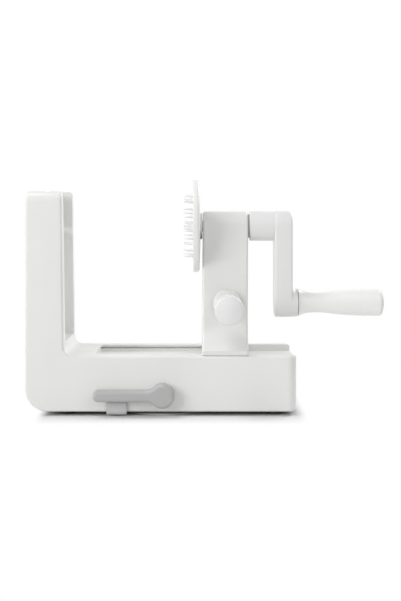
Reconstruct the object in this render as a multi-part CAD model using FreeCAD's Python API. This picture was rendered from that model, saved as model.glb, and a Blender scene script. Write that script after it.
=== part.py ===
import FreeCAD, Part
import math
import os

# Hand cranked spiralizer. Millimetres. X runs along the deck to the crank, Y across, Z up.
# The origin is the middle of the suction pad's flat underside, on the counter.

# Body: an L of deck and upright, with a slightly bowed rear end
BODY_WIDTH = 110.0
FRONT_X = -137.5
REAR_X = 137.0
REAR_BOW = 3.0
REAR_BOW_RADIUS = 600.0
REAR_CORNER = 10.0
UNDERSIDE_Z = 4.0
DECK_Z = 60.0
UPRIGHT_TOP_Z = 225.0
UPRIGHT_TOP_X = -101.0
UPRIGHT_FOOT_X = -98.7
WALL = 2.6
BOTTOM_CORNER = 22.5
INNER_CORNER = 9.0
CHEEK_ROUND = 11.0
TOP_EDGE_ROUND = 3.0
BOTTOM_EDGE_ROUND = 2.5
CHEEK = 14.0
SILL_Z = 72.5
WINDOW_CORNER = 5.0

# Fits
GAP = 0.3
SEAT_GAP = 0.1
RUNNING_FIT = 0.06
PRESS_FIT = 0.02
SCREW_FIT = 0.05

# Deck channel, its lips and the wider bay at the rear where the carriage drops in
RAIL_WIDTH = 15.7
CHANNEL_DEPTH = 6.8
CHANNEL_FRONT_X = -69.3
CHANNEL_CORNER = 5.5
LIP_END_X = 87.5
LIP_THICK = 2.2
LIP_GROOVE = 1.8
LIP_REACH = 3.4
FLOOR_THICK = 3.0

# Inside the base: screw columns, bearing of the lever, spring seat
SCREW_COLUMN_RADIUS = 4.2
SCREW_FRONT_X = -106.0
SCREW_FRONT_Y = 20.0
SCREW_MIDDLE_X = 60.0
SCREW_EDGE = 9.0
SCREW_REAR_X = 124.0
SCREW_REAR_Y = 12.0
SCREW_RADIUS = 1.5
SCREW_HEAD_RADIUS = 2.9
SCREW_HEAD = 1.6
SCREW_DEPTH = 12.0
OUTER_BEARING_LENGTH = 14.0
INNER_BEARING_Y = 11.0
INNER_BEARING_LENGTH = 5.0
SPRING_RADIUS = 6.5
SPRING_WIRE = 0.7
SPRING_TURNS = 5
SPRING_SEAT_DEPTH = 5.2

# Carriage: post, runner below the deck's lips, plain bushes
POST_FRONT_X = 39.4
POST_LENGTH = 46.8
POST_FRONT_DRAFT = 1.2
POST_REAR_LEAN = 1.4
POST_FOOT_INSET = 1.0
POST_FOOT_HEIGHT = 4.5
POST_WAIST_HALF = 27.0
POST_WAIST_Z = 95.0
FLANK_FOOT_ANGLE = math.radians(42.0)
FLANK_WAIST_ANGLE = math.radians(82.4)
FLANK_MID_OUT = 0.32
FLANK_MID_UP = 0.42
POST_WALL = 2.8
POST_EDGE_ROUND = 2.5
FOOT_RIB = 8.0
RIB_TOP_Z = 78.0
RIB_INSET = 9.0
POST_SCREW_Y = 20.0
POST_SCREW_DEPTH = 10.0
RUNNER_LENGTH = 31.0
RUNNER_TOP_PLATE = 3.0
RUNNER_SCREW_SKIN = 2.0
HOUSING_RADIUS = 15.4
SHAFT_Z = 189.0
BUSH_WALL = 3.0
BUSH_LENGTH = 12.0
BUSH_INSET = 0.5

# Crank: shaft, hub, cranked arm and the collar that the grip turns against
SHAFT_RADIUS = 6.0
SHAFT_SCREW_DEPTH = 14.0
SHAFT_END_INSET = 9.0
HUB_RADIUS = 15.4
HUB_START_X = 89.4
HUB_ROUND = 1.0
WASHER_INSET = 3.0
ARM_FRONT_X = 115.0
ARM_THICK = 18.7
ARM_HEAD_RADIUS = 15.8
ARM_TOE_RADIUS = 15.0
ARM_EDGE_ROUND = 2.5
ARM_SINK = 6.0
ARM_SINK_RADIUS = 7.0
ARM_PLUG_GAP = 1.0
THROW = 80.0
COLLAR_LENGTH = 5.9
COLLAR_ROUND = 0.6
WEB_TOP = 24.0
WEB_SINK = 0.4
WEB_LEAN = 0.9
WEB_ROUND = 5.4
WEB_EDGE_ROUND = 2.0
END_SCREW_RADIUS = 2.5
END_SCREW_HEAD_RADIUS = 4.5
END_SCREW_HEAD = 1.5
END_SCREW_LENGTH = 13.0

# Food holder: a turned disc with rings of tapering teeth
HOLDER_FRONT_X = 30.5
HOLDER_RADIUS = 48.0
HOLDER_THICK = 7.4
HOLDER_RIM_THICK = 6.5
HOLDER_FRONT_ROUND = 1.2
HOLDER_BACK_ROUND = 3.0
HOLDER_COLLAR_RADIUS = 13.6
HOLDER_COLLAR_BLEND = 4.0
HOLDER_FLOOR = 3.0
TOOTH_LENGTH = 9.7
TOOTH_ROOT_RADIUS = 1.7
TOOTH_TIP_RADIUS = 0.45
TOOTH_ROOT_DEPTH = 0.5
TOOTH_RING_RADII = (9.5, 25.0, 31.6)
TOOTH_COUNTS = (6, 8, 12)
TOOTH_START_DEGREES = (30.0, 0.0, 4.0)

# Both handles share one turned form: distance from the root, radius
HANDLE_LENGTH = 90.2
HANDLE_FORM = ((0.0, 14.4), (4.2, 12.5), (8.3, 11.3), (12.5, 10.6), (19.0, 10.3), (27.0, 10.6),
               (40.0, 12.2), (52.0, 13.3), (66.0, 13.9), (78.0, 14.0))
HANDLE_END_DRAFT = 0.3
HANDLE_END_ROUND = 6.5
CAP_RADIUS = 7.5
CAP_THICK = 4.0
CAP_BEVEL = 0.4
AXLE_RADIUS = 4.0
AXLE_HEAD_RADIUS = 6.5
AXLE_HEAD_THICK = 3.0
AXLE_SEAT = 74.0
AXLE_SOCKET = 14.0
SIDE_HANDLE_X = 65.5
SIDE_HANDLE_Z = 110.2
SIDE_BOSS_INSET = 0.7
NUT_SIDES = 6
NUT_THICK = 5.0
STUD_PAST_NUT = 1.5

# Suction lever, its shaft and the cam that lifts the stem
LEVER_Z = 21.0
LEVER_REACH = 68.6
LEVER_HEAD_RADIUS = 12.0
LEVER_ARM_HEIGHT = 10.6
LEVER_THICK = 13.7
LEVER_BLEND = 12.0
LEVER_TIP_ROUND = 4.6
LEVER_EDGE_ROUND = 3.3
LEVER_SHAFT_RADIUS = 5.0
LEVER_SOCKET = 9.5
SHAFT_PAST_RIB = 2.6
CLIP_THICK = 1.2
CLIP_GROOVE = 1.0
CLIP_RIM = 2.5
LEVER_BUSH_FLANGE = 1.5
CAM_BASE_RADIUS = 7.5
CAM_HALF = 5.0
CAM_STEPS = 8
STEM_LIFT = 4.0
LEVER_TURN = math.radians(90.0)
YOKE_HALF_Y = 7.0
YOKE_WALL = 3.5
YOKE_STUD = 3.0

# Suction pad, cover and feet
PAD_RADIUS = 50.0
PAD_RIM = 2.8
PAD_EDGE = 1.2
PAD_SLOPE = 8.0
PAD_BOSS_RADIUS = 15.0
PAD_BOSS_BLEND = 2.0
PAD_BOSS_Z = 5.2
PAD_TAB_X = -45.7
PAD_TAB_WIDTH = 20.5
PAD_TAB_THICK = 3.2
PAD_TAB_BEND = 1.0
COVER_THICK = 2.4
CUP_RADIUS = 46.0
CUP_RISE = 3.0
CUP_HOLE_RADIUS = 19.5
FOOT_RADIUS = 7.0
FOOT_PLUG_RADIUS = 3.5
FOOT_ROUND = 1.0
FOOT_FRONT_X = -98.0
FOOT_REAR_X = 112.0
FOOT_EDGE = 17.0

# Blade cassette: plate, spiral blade, comb blade and coring tube
CASSETTE_X = -113.0
CASSETTE_THICK = 5.0
CASSETTE_SLOT = 6.8
CASSETTE_SEAT = 3.0
CASSETTE_TOP_Z = 222.0
CASSETTE_CORNER = 2.5
PULL_LIP_HEIGHT = 3.0
PULL_LIP_DEPTH = 4.0
PULL_LIP_INSET = 2.0
PANEL_SINK = 1.2
PANEL_MARGIN = 6.0
PANEL_FOOT = 8.0
PANEL_TOP_DROP = 46.0
CORE_RADIUS = 5.5
CORE_WALL = 0.7
CORE_STAND = 6.0
CORE_BEVEL = 1.5
CORE_EDGE = 0.1
BLADE_CORE_GAP = 1.5
BLADE_SIDE_GAP = 1.0
BLADE_WIDTH = 17.0
BLADE_THICK = 0.9
BLADE_RISE = 8.0
BLADE_LIFT_X = 1.6
BLADE_BEVEL = 2.2
BLADE_EDGE_SHARE = 0.7
BLADE_EDGE_DROP = 1.0
BLADE_SCREW_INSET = 6.0
BLADE_SCREW_DROP = 5.0
BLADE_SCREW_REACH = 3.5
BLADE_SCREW_HEAD = 1.3
BLADE_SCREW_ROUND = 0.8
THROAT = 4.6
COMB_THICK = 0.7
COMB_TOOTH = 2.2
COMB_PITCH = 3.0
COMB_TOOTH_SHARE = 0.32
COMB_BELOW = 6.5
COMB_RECESS = 0.5

# How far a cutting form runs past the face it opens, and the smallest length
PAST = 1.0
TINY = 1e-6

# Places that follow from the sizes above
HALF = BODY_WIDTH / 2.0
REAR_SIDE_X = REAR_X - REAR_BOW
CHANNEL_HALF = HALF - RAIL_WIDTH
CHANNEL_Z = DECK_Z - CHANNEL_DEPTH
CEILING_Z = CHANNEL_Z - FLOOR_THICK
SCREW_PLACES = ((SCREW_FRONT_X, SCREW_FRONT_Y), (-SCREW_MIDDLE_X, HALF - SCREW_EDGE),
                (SCREW_MIDDLE_X, HALF - SCREW_EDGE), (SCREW_REAR_X, SCREW_REAR_Y))
FOOT_Y = HALF - FOOT_EDGE
COVER_Z = UNDERSIDE_Z + 2 * GAP
COVER_TOP_Z = COVER_Z + COVER_THICK
LEVER_BUSH_RADIUS = LEVER_SHAFT_RADIUS + BUSH_WALL
YOKE_HALF_X = CAM_BASE_RADIUS + STEM_LIFT + 2 * GAP + YOKE_WALL
YOKE_TOP_Z = LEVER_Z + CAM_BASE_RADIUS + GAP + YOKE_WALL
LEVER_BACK_Y = -HALF - GAP
LEVER_FACE_Y = LEVER_BACK_Y - LEVER_THICK
CLIP_Y = INNER_BEARING_Y + INNER_BEARING_LENGTH + GAP
POST_REAR_X = POST_FRONT_X + POST_LENGTH
POST_TOP_REAR_X = POST_REAR_X + POST_REAR_LEAN
POST_UNDER_Z = DECK_Z + GAP
POST_FOOT_HALF = HALF - POST_FOOT_INSET
HOUSING_FLOOR_Z = SHAFT_Z - HOUSING_RADIUS - WALL
BUSH_OUTER = SHAFT_RADIUS + BUSH_WALL
BUSH_FRONT_X = POST_FRONT_X + POST_FRONT_DRAFT + BUSH_INSET
BUSH_REAR_X = POST_REAR_X - BUSH_INSET
RUNNER_FRONT_X = POST_REAR_X - RUNNER_LENGTH
HANDLE_ROOT_RADIUS = HANDLE_FORM[0][1]
SEAT_Y = -POST_WAIST_HALF - GAP
NUT_SEAT_Y = -POST_WAIST_HALF + 2 * POST_WALL
STUD_INNER_Y = NUT_SEAT_Y + NUT_THICK + STUD_PAST_NUT
ARM_REAR_X = ARM_FRONT_X + ARM_THICK
GRIP_Z = SHAFT_Z - THROW
SHAFT_FRONT_X = HOLDER_FRONT_X + HOLDER_FLOOR
SHAFT_REAR_X = ARM_REAR_X - SHAFT_END_INSET
COLLAR_END_X = POST_FRONT_X + POST_FRONT_DRAFT - 2 * GAP
WASHER_START_X = POST_TOP_REAR_X + GAP
CASSETTE_BACK_X = CASSETTE_X - CASSETTE_THICK
CASSETTE_HALF = HALF - CHEEK + CASSETTE_SLOT - GAP
CASSETTE_FOOT_Z = SILL_Z - CASSETTE_SEAT + GAP
BLADE_START_Y = CORE_RADIUS + BLADE_CORE_GAP
BLADE_END_Y = HALF - CHEEK - BLADE_SIDE_GAP
BLADE_EDGE_Z = SHAFT_Z - BLADE_EDGE_DROP
BLADE_SCREW_Z = BLADE_EDGE_Z + BLADE_WIDTH - BLADE_SCREW_DROP
BLADE_SCREW_PLACES = (BLADE_START_Y + BLADE_SCREW_INSET, BLADE_END_Y - BLADE_SCREW_INSET)


def at(x, y, z):
    return FreeCAD.Vector(x, y, z)


ALONG_X = at(1, 0, 0)
TO_NEAR = at(0, -1, 0)
UP = at(0, 0, 1)
GRIP_ROOT = at(ARM_REAR_X + COLLAR_LENGTH + GAP, 0, GRIP_Z)
SIDE_ROOT = at(SIDE_HANDLE_X, SEAT_Y, SIDE_HANDLE_Z)


def on_xz(y):
    """Place an outline drawn along X and up Z in the plane at this Y."""
    return lambda p: at(p.x, y, p.y)


def on_yz(x):
    """Place an outline drawn across Y and up Z in the plane at this X."""
    return lambda p: at(x, p.x, p.y)


def on_xy(z):
    """Place an outline drawn along X and across Y in the plane at this Z."""
    return lambda p: at(p.x, p.y, z)


def outline(corners, place):
    """Face inside a closed outline. Each corner is (across, up, corner radius)."""
    count = len(corners)
    stops = []
    for index, (across, up, radius) in enumerate(corners):
        here = at(across, up, 0)
        before = at(corners[index - 1][0], corners[index - 1][1], 0)
        after = at(corners[(index + 1) % count][0], corners[(index + 1) % count][1], 0)
        back = (before - here).normalize()
        ahead = (after - here).normalize()
        half_angle = back.getAngle(ahead) / 2.0
        reach = radius / math.tan(half_angle)
        inward = (back + ahead).normalize() if radius > 0 else at(0, 0, 0)
        centre = here + inward * (radius / math.sin(half_angle))
        stops.append((here + back * reach, centre - inward * radius, here + ahead * reach, radius))
    edges = []
    for index, (start, crown, end, radius) in enumerate(stops):
        if radius > 0:
            edges.append(Part.Arc(place(start), place(crown), place(end)).toShape())
        following = stops[(index + 1) % count][0]
        if end.distanceToPoint(following) > TINY:
            edges.append(Part.LineSegment(place(end), place(following)).toShape())
    return Part.Face(Part.Wire(edges))


def block(x0, x1, y0, y1, z0, z1):
    return Part.makeBox(x1 - x0, y1 - y0, z1 - z0, at(x0, y0, z0))


def rod(radius, start, end):
    return Part.makeCylinder(radius, (end - start).Length, start, end - start)


def tube(outer, inner, start, end):
    return rod(outer, start, end).cut(rod(inner, start, end))


def taper(radius_start, radius_end, start, end):
    return Part.makeCone(radius_start, radius_end, (end - start).Length, start, end - start)


def joined(shapes):
    """Fuse solids and drop the seams between faces that run on."""
    first = shapes[0]
    return first.fuse(shapes[1:]).removeSplitter()


def both_sides(shape):
    """The shape and its mirror image across the middle plane."""
    return [shape, shape.mirror(at(0, 0, 0), at(0, 1, 0))]


def edges_where(shape, test):
    """Edges whose middle point passes the test."""
    found = []
    for edge in shape.Edges:
        middle = edge.valueAt((edge.FirstParameter + edge.LastParameter) / 2.0)
        if test(middle):
            found.append(edge)
    return found


def turned(points, origin, axis, side):
    """Revolve a closed outline of (distance along axis, radius) about the axis."""
    return outline(points, lambda p: origin + axis * p.x + side * p.y).revolve(origin, axis, 360)


def screw(tip, head_top, radius, head_radius, head_height):
    """Countersunk screw from its tip to the top of its head."""
    axis = (head_top - tip).normalize()
    under_head = head_top - axis * head_height
    shank = rod(radius, tip, under_head)
    return shank.fuse(taper(radius, head_radius, under_head, head_top)).removeSplitter()


def save(node, shapes):
    """Write one node. Its solids stay separate."""
    solids = []
    for shape in shapes:
        solids.extend(shape.Solids)
    Part.makeCompound(solids).exportStep(os.path.join("parts", node + ".step"))


# Body

def l_outline():
    """L of the body seen from the side."""
    return [(FRONT_X, UNDERSIDE_Z, BOTTOM_CORNER), (REAR_X, UNDERSIDE_Z, 0), (REAR_X, DECK_Z, 0),
            (UPRIGHT_FOOT_X, DECK_Z, INNER_CORNER), (UPRIGHT_TOP_X, UPRIGHT_TOP_Z, 0),
            (FRONT_X, UPRIGHT_TOP_Z, 0)]


def plan_outline(front_x, inset):
    """Body seen from above, moved inwards: square in front, round corners and a bow at the rear."""
    half = HALF - inset
    side_x = REAR_SIDE_X - inset
    corner = REAR_CORNER - inset
    return [(front_x, -half, 0), (side_x, -half, corner),
            (REAR_X - inset, 0, REAR_BOW_RADIUS), (side_x, half, corner), (front_x, half, 0)]


def body_block():
    """Outer form: side L, plan and rounded cheek tops, with both edge loops rounded."""
    side = outline(l_outline(), on_xz(-HALF)).extrude(at(0, BODY_WIDTH, 0))
    plan = outline(plan_outline(FRONT_X, 0), on_xy(0)).extrude(at(0, 0, UPRIGHT_TOP_Z))
    section = outline([(-HALF, 0, 0), (HALF, 0, 0), (HALF, UPRIGHT_TOP_Z, CHEEK_ROUND),
                       (-HALF, UPRIGHT_TOP_Z, CHEEK_ROUND)], on_yz(FRONT_X))
    solid = side.common(plan).common(section.extrude(at(REAR_X - FRONT_X, 0, 0)))
    slope = (UPRIGHT_FOOT_X - UPRIGHT_TOP_X) / (UPRIGHT_TOP_Z - DECK_Z)

    def upper_loop(middle):
        upright_x = UPRIGHT_FOOT_X - slope * (middle.z - DECK_Z)
        on_deck = abs(middle.z - DECK_Z) < TINY and middle.x > UPRIGHT_FOOT_X
        on_upright = abs(middle.x - upright_x) < SEAT_GAP and middle.z > DECK_Z + INNER_CORNER
        return on_deck or on_upright

    def lower_loop(middle):
        return abs(middle.x - FRONT_X) < TINY or abs(middle.z - UNDERSIDE_Z) < TINY

    solid = solid.makeFillet(TOP_EDGE_ROUND, edges_where(solid, upper_loop))
    return solid.makeFillet(BOTTOM_EDGE_ROUND, edges_where(solid, lower_loop))


def body_cavity():
    """Hollow of the base, open underneath, with a pocket up into each cheek."""
    under_sill = SILL_Z - CASSETTE_SEAT - WALL
    inner = outline([(FRONT_X + WALL, UNDERSIDE_Z + WALL, BOTTOM_CORNER - WALL),
                     (FRONT_X + BOTTOM_CORNER, UNDERSIDE_Z + WALL, 0),
                     (FRONT_X + BOTTOM_CORNER, UNDERSIDE_Z - WALL, 0),
                     (REAR_X - WALL, UNDERSIDE_Z - WALL, 0),
                     (REAR_X - WALL, CEILING_Z, 0),
                     (UPRIGHT_FOOT_X + INNER_CORNER, CEILING_Z, 0),
                     (UPRIGHT_FOOT_X - 2 * WALL, under_sill, 0),
                     (FRONT_X + WALL, under_sill, 0)], on_xz(-HALF))
    plan = outline(plan_outline(FRONT_X + WALL, WALL), on_xy(0)).extrude(at(0, 0, UPRIGHT_TOP_Z))
    hollow = inner.extrude(at(0, BODY_WIDTH, 0)).common(plan)
    pocket = block(FRONT_X + WALL, CASSETTE_BACK_X - GAP - WALL,
                   -HALF + WALL, -HALF + CHEEK - WALL,
                   under_sill - WALL, UPRIGHT_TOP_Z - CHEEK_ROUND - WALL)
    return [hollow] + both_sides(pocket)


def window():
    """Opening between the cheeks, and the grooves and sill seat that hold the cassette."""
    half = HALF - CHEEK
    length = UPRIGHT_FOOT_X + INNER_CORNER - FRONT_X
    high = UPRIGHT_TOP_Z + CHEEK
    gap = outline([(-half, SILL_Z, WINDOW_CORNER), (half, SILL_Z, WINDOW_CORNER),
                   (half, high, 0), (-half, high, 0)], on_yz(FRONT_X - WALL))
    reach = half + CASSETTE_SLOT
    slot = block(CASSETTE_BACK_X - GAP, CASSETTE_X + GAP, -reach, reach, SILL_Z - CASSETTE_SEAT, high)
    return [gap.extrude(at(length + WALL, 0, 0)), slot]


def deck_channel():
    """Channel for the runner, undercut below the lips, and the wider bay behind them."""
    past_rear = REAR_X + WALL
    channel = outline([(CHANNEL_FRONT_X, -CHANNEL_HALF, CHANNEL_CORNER),
                       (past_rear, -CHANNEL_HALF, 0), (past_rear, CHANNEL_HALF, 0),
                       (CHANNEL_FRONT_X, CHANNEL_HALF, CHANNEL_CORNER)], on_xy(CHANNEL_Z))
    groove_half = CHANNEL_HALF + LIP_REACH
    groove_z = DECK_Z - LIP_THICK - LIP_GROOVE
    groove = block(CHANNEL_FRONT_X, past_rear, -groove_half, groove_half,
                   groove_z, DECK_Z - LIP_THICK)
    bay = block(LIP_END_X, past_rear, -groove_half, groove_half, CHANNEL_Z, DECK_Z + WALL)
    return [channel.extrude(at(0, 0, CHANNEL_DEPTH + WALL)), groove, bay]


def body_inner_parts():
    """Screw columns, lever bearings, stem guides and spring seat inside the base."""
    parts = []
    for x, y in SCREW_PLACES:
        under_sill = x < UPRIGHT_FOOT_X
        top = SILL_Z - CASSETTE_SEAT - WALL if under_sill else CEILING_Z
        column = rod(SCREW_COLUMN_RADIUS, at(x, -y, COVER_TOP_Z), at(x, -y, top + WALL / 2))
        parts.extend(both_sides(column))
    wall_in = -HALF + WALL
    bearing_radius = LEVER_BUSH_RADIUS + WALL
    rib_end = INNER_BEARING_Y + INNER_BEARING_LENGTH
    into_ceiling = CEILING_Z + WALL / 2
    parts.append(rod(bearing_radius, at(0, wall_in - WALL / 2, LEVER_Z),
                     at(0, wall_in + OUTER_BEARING_LENGTH, LEVER_Z)))
    parts.append(block(-bearing_radius, bearing_radius, INNER_BEARING_Y, rib_end,
                       LEVER_Z, into_ceiling))
    parts.append(rod(bearing_radius, at(0, INNER_BEARING_Y, LEVER_Z), at(0, rib_end, LEVER_Z)))
    for side in (-1, 1):
        near = side * (YOKE_HALF_X + GAP)
        far = side * (YOKE_HALF_X + GAP + WALL)
        parts.append(block(min(near, far), max(near, far), -YOKE_HALF_Y, INNER_BEARING_Y + WALL,
                           LEVER_Z - CAM_BASE_RADIUS, into_ceiling))
    seat_radius = SPRING_RADIUS + SPRING_WIRE + GAP
    parts.append(tube(seat_radius + WALL, seat_radius, at(0, 0, CEILING_Z - SPRING_SEAT_DEPTH),
                      at(0, 0, into_ceiling)))
    return parts


def body_holes():
    """Bores for the lever's bushes and pilot holes for the cover screws."""
    holes = []
    bore = LEVER_BUSH_RADIUS + PRESS_FIT
    holes.append(rod(bore, at(0, -HALF - WALL, LEVER_Z),
                     at(0, -HALF + WALL + OUTER_BEARING_LENGTH + WALL, LEVER_Z)))
    holes.append(rod(bore, at(0, INNER_BEARING_Y - PAST, LEVER_Z),
                     at(0, INNER_BEARING_Y + INNER_BEARING_LENGTH + PAST, LEVER_Z)))
    for x, y in SCREW_PLACES:
        holes.extend(both_sides(rod(SCREW_RADIUS + SCREW_FIT, at(x, -y, COVER_Z),
                                    at(x, -y, COVER_TOP_Z + SCREW_DEPTH + GAP))))
    return holes


def main_body():
    shell = body_block().cut(body_cavity() + window() + deck_channel())
    return joined([shell] + body_inner_parts()).cut(body_holes())


def bottom_cover():
    """Cover under the base, raised to a cup over the suction pad."""
    plan = outline(plan_outline(FRONT_X + BOTTOM_CORNER + GAP, WALL + GAP), on_xy(COVER_Z))
    cup_top = COVER_TOP_Z + CUP_RISE
    plate = plan.extrude(at(0, 0, COVER_THICK)).cut(
        rod(CUP_RADIUS, at(0, 0, COVER_Z - WALL), at(0, 0, COVER_TOP_Z + WALL)))
    cup = rod(CUP_RADIUS + COVER_THICK, at(0, 0, COVER_Z), at(0, 0, cup_top)).cut([
        rod(CUP_RADIUS, at(0, 0, COVER_Z - WALL), at(0, 0, cup_top - COVER_THICK)),
        rod(CUP_HOLE_RADIUS, at(0, 0, COVER_Z), at(0, 0, cup_top + WALL))])
    cover = joined([plate, cup.common(plan.extrude(at(0, 0, cup_top - COVER_Z)))])
    holes = []
    for x, y in SCREW_PLACES:
        holes.extend(both_sides(rod(SCREW_RADIUS + SCREW_FIT, at(x, -y, COVER_Z - WALL),
                                    at(x, -y, COVER_TOP_Z + WALL))))
        holes.extend(both_sides(taper(SCREW_HEAD_RADIUS + SCREW_FIT, SCREW_RADIUS + SCREW_FIT,
                                      at(x, -y, COVER_Z), at(x, -y, COVER_Z + SCREW_HEAD))))
    for x in (FOOT_FRONT_X, FOOT_REAR_X):
        holes.extend(both_sides(rod(FOOT_PLUG_RADIUS + PRESS_FIT, at(x, -FOOT_Y, COVER_Z - WALL),
                                    at(x, -FOOT_Y, COVER_TOP_Z + WALL))))
    return cover.cut(holes)


def bottom_screws():
    solids = []
    for x, y in SCREW_PLACES:
        one = screw(at(x, -y, COVER_TOP_Z + SCREW_DEPTH), at(x, -y, COVER_Z),
                    SCREW_RADIUS, SCREW_HEAD_RADIUS, SCREW_HEAD)
        solids.extend(both_sides(one))
    return solids


def rubber_feet():
    """Round feet, each with a plug pressed through the cover."""
    solids = []
    for x in (FOOT_FRONT_X, FOOT_REAR_X):
        pad = rod(FOOT_RADIUS, at(x, -FOOT_Y, 0), at(x, -FOOT_Y, COVER_Z))
        pad = pad.makeFillet(FOOT_ROUND, edges_where(pad, lambda middle: middle.z < TINY))
        plug = rod(FOOT_PLUG_RADIUS, at(x, -FOOT_Y, COVER_Z - TINY), at(x, -FOOT_Y, COVER_TOP_Z))
        solids.extend(both_sides(joined([pad, plug])))
    return solids


# Suction pad, stem and lever

def suction_pad():
    """Rubber disc with a boss for the stem and a pull tab bent up outside the near wall."""
    disc = turned([(0, 0, 0), (0, PAD_RADIUS, 0), (PAD_EDGE, PAD_RADIUS, 0),
                   (PAD_RIM, PAD_RADIUS - PAD_SLOPE, 0),
                   (PAD_RIM, PAD_BOSS_RADIUS + PAD_BOSS_BLEND, PAD_BOSS_BLEND),
                   (PAD_BOSS_Z, PAD_BOSS_RADIUS, 0), (PAD_BOSS_Z, 0, 0)], at(0, 0, 0), UP, ALONG_X)
    strap_z = GAP
    strap_top = strap_z + PAD_TAB_THICK
    outer_y = -HALF - GAP - PAD_TAB_THICK - GAP
    inner_y = outer_y + PAD_TAB_THICK
    lip_z = LEVER_Z - LEVER_ARM_HEIGHT / 2 - 2 * GAP
    inside_y = -PAD_BOSS_RADIUS
    section = outline([(inside_y, strap_z, 0), (outer_y, strap_z, PAD_TAB_THICK + PAD_TAB_BEND),
                       (outer_y, lip_z, PAD_TAB_THICK / 4), (inner_y, lip_z, PAD_TAB_THICK / 4),
                       (inner_y, strap_top, PAD_TAB_BEND), (inside_y, strap_top, 0)],
                      on_yz(PAD_TAB_X - PAD_TAB_WIDTH / 2))
    tab = section.extrude(at(PAD_TAB_WIDTH, 0, 0))
    keep_out = rod(PAD_RADIUS - PAD_SLOPE, at(0, 0, PAD_RIM), at(0, 0, PAD_RIM + PAD_TAB_THICK))
    return joined([disc, tab.cut(keep_out)])


def stem_yoke():
    """Stem with a window that the cam turns in, and a stud for the spring."""
    body = block(-YOKE_HALF_X, YOKE_HALF_X, -YOKE_HALF_Y, YOKE_HALF_Y, PAD_BOSS_Z, YOKE_TOP_Z)
    half = YOKE_HALF_X - YOKE_WALL
    clear = block(-half, half, -YOKE_HALF_Y - PAST, YOKE_HALF_Y + PAST,
                  LEVER_Z - CAM_BASE_RADIUS - STEM_LIFT - 2 * GAP, LEVER_Z + CAM_BASE_RADIUS + GAP)
    stud = rod(SPRING_RADIUS - SPRING_WIRE - GAP, at(0, 0, YOKE_TOP_Z - TINY),
               at(0, 0, YOKE_TOP_Z + YOKE_STUD))
    round_foot = rod(PAD_BOSS_RADIUS + PAD_BOSS_BLEND, at(0, 0, PAD_BOSS_Z), at(0, 0, YOKE_TOP_Z))
    return joined([body.common(round_foot).cut(clear), stud])


def stem_spring():
    """Compression spring between the yoke and the ceiling of the base."""
    low = YOKE_TOP_Z + SPRING_WIRE + SEAT_GAP
    high = CEILING_Z - SPRING_WIRE - SEAT_GAP
    helix = Part.makeHelix((high - low) / SPRING_TURNS, high - low, SPRING_RADIUS)
    helix.translate(at(0, 0, low))
    wire = Part.Wire(helix.Edges)
    start = wire.Vertexes[0].Point
    section = Part.Wire(Part.makeCircle(SPRING_WIRE, start, at(0, 1, 0)))
    return wire.makePipeShell([section], True, True)


def cam_outline():
    """Involute rise: the flat of the yoke climbs in step with the lever's turn."""
    rise = STEM_LIFT / LEVER_TURN
    points = []
    for step in range(CAM_STEPS + 1):
        turn = LEVER_TURN * step / CAM_STEPS
        height = CAM_BASE_RADIUS + rise * turn
        points.append(at(-height * math.sin(turn) - rise * math.cos(turn), 0,
                         height * math.cos(turn) - rise * math.sin(turn)))
    rise_edge = Part.BSplineCurve()
    rise_edge.interpolate(points)
    last = points[-1]
    lean = math.atan2(last.z, -last.x)
    reach = math.hypot(last.x, last.z)
    close = math.pi - math.asin(CAM_BASE_RADIUS / reach) - lean
    touch = at(-CAM_BASE_RADIUS * math.sin(close), 0, CAM_BASE_RADIUS * math.cos(close))
    far = at(CAM_BASE_RADIUS, 0, 0)
    top = at(0, 0, CAM_BASE_RADIUS)
    return [Part.LineSegment(top, points[0]).toShape(), rise_edge.toShape(),
            Part.LineSegment(last, touch).toShape(), Part.Arc(touch, far, top).toShape()]


def lever_cam():
    face = Part.Face(Part.Wire(cam_outline()))
    cam = face.extrude(at(0, 2 * CAM_HALF, 0))
    cam.translate(at(0, -CAM_HALF, LEVER_Z))
    return cam.cut(rod(LEVER_SHAFT_RADIUS + PRESS_FIT, at(0, -CAM_HALF - PAST, LEVER_Z),
                       at(0, CAM_HALF + PAST, LEVER_Z)))


def lever_outline():
    """Round head, straight arm and the hollow blends between them."""
    half = LEVER_ARM_HEIGHT / 2
    blend_up = half + LEVER_BLEND
    span = LEVER_HEAD_RADIUS + LEVER_BLEND
    blend_x = -math.sqrt(span ** 2 - blend_up ** 2)
    share = LEVER_HEAD_RADIUS / span
    tip = -LEVER_REACH
    round_in = LEVER_TIP_ROUND * (1 - math.sqrt(0.5))
    edges = []
    for side in (1, -1):
        on_head = at(blend_x * share, 0, side * blend_up * share)
        on_arm = at(blend_x, 0, side * half)
        lean = at(-blend_x, 0, -side * blend_up).normalize()
        toward = (at(0, 0, -side) + lean).normalize()
        middle = at(blend_x, 0, side * blend_up) + toward * LEVER_BLEND
        corner_start = at(tip + LEVER_TIP_ROUND, 0, side * half)
        corner_mid = at(tip + round_in, 0, side * (half - round_in))
        corner_end = at(tip, 0, side * (half - LEVER_TIP_ROUND))
        edges.append(Part.Arc(on_head, middle, on_arm).toShape())
        edges.append(Part.LineSegment(on_arm, corner_start).toShape())
        edges.append(Part.Arc(corner_start, corner_mid, corner_end).toShape())
    flat = half - LEVER_TIP_ROUND
    edges.append(Part.LineSegment(at(tip, 0, flat), at(tip, 0, -flat)).toShape())
    head_side = [at(blend_x * share, 0, side * blend_up * share) for side in (1, -1)]
    edges.append(Part.Arc(head_side[0], at(LEVER_HEAD_RADIUS, 0, 0), head_side[1]).toShape())
    return Part.Face(Part.Wire(Part.__sortEdges__(edges)))


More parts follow.
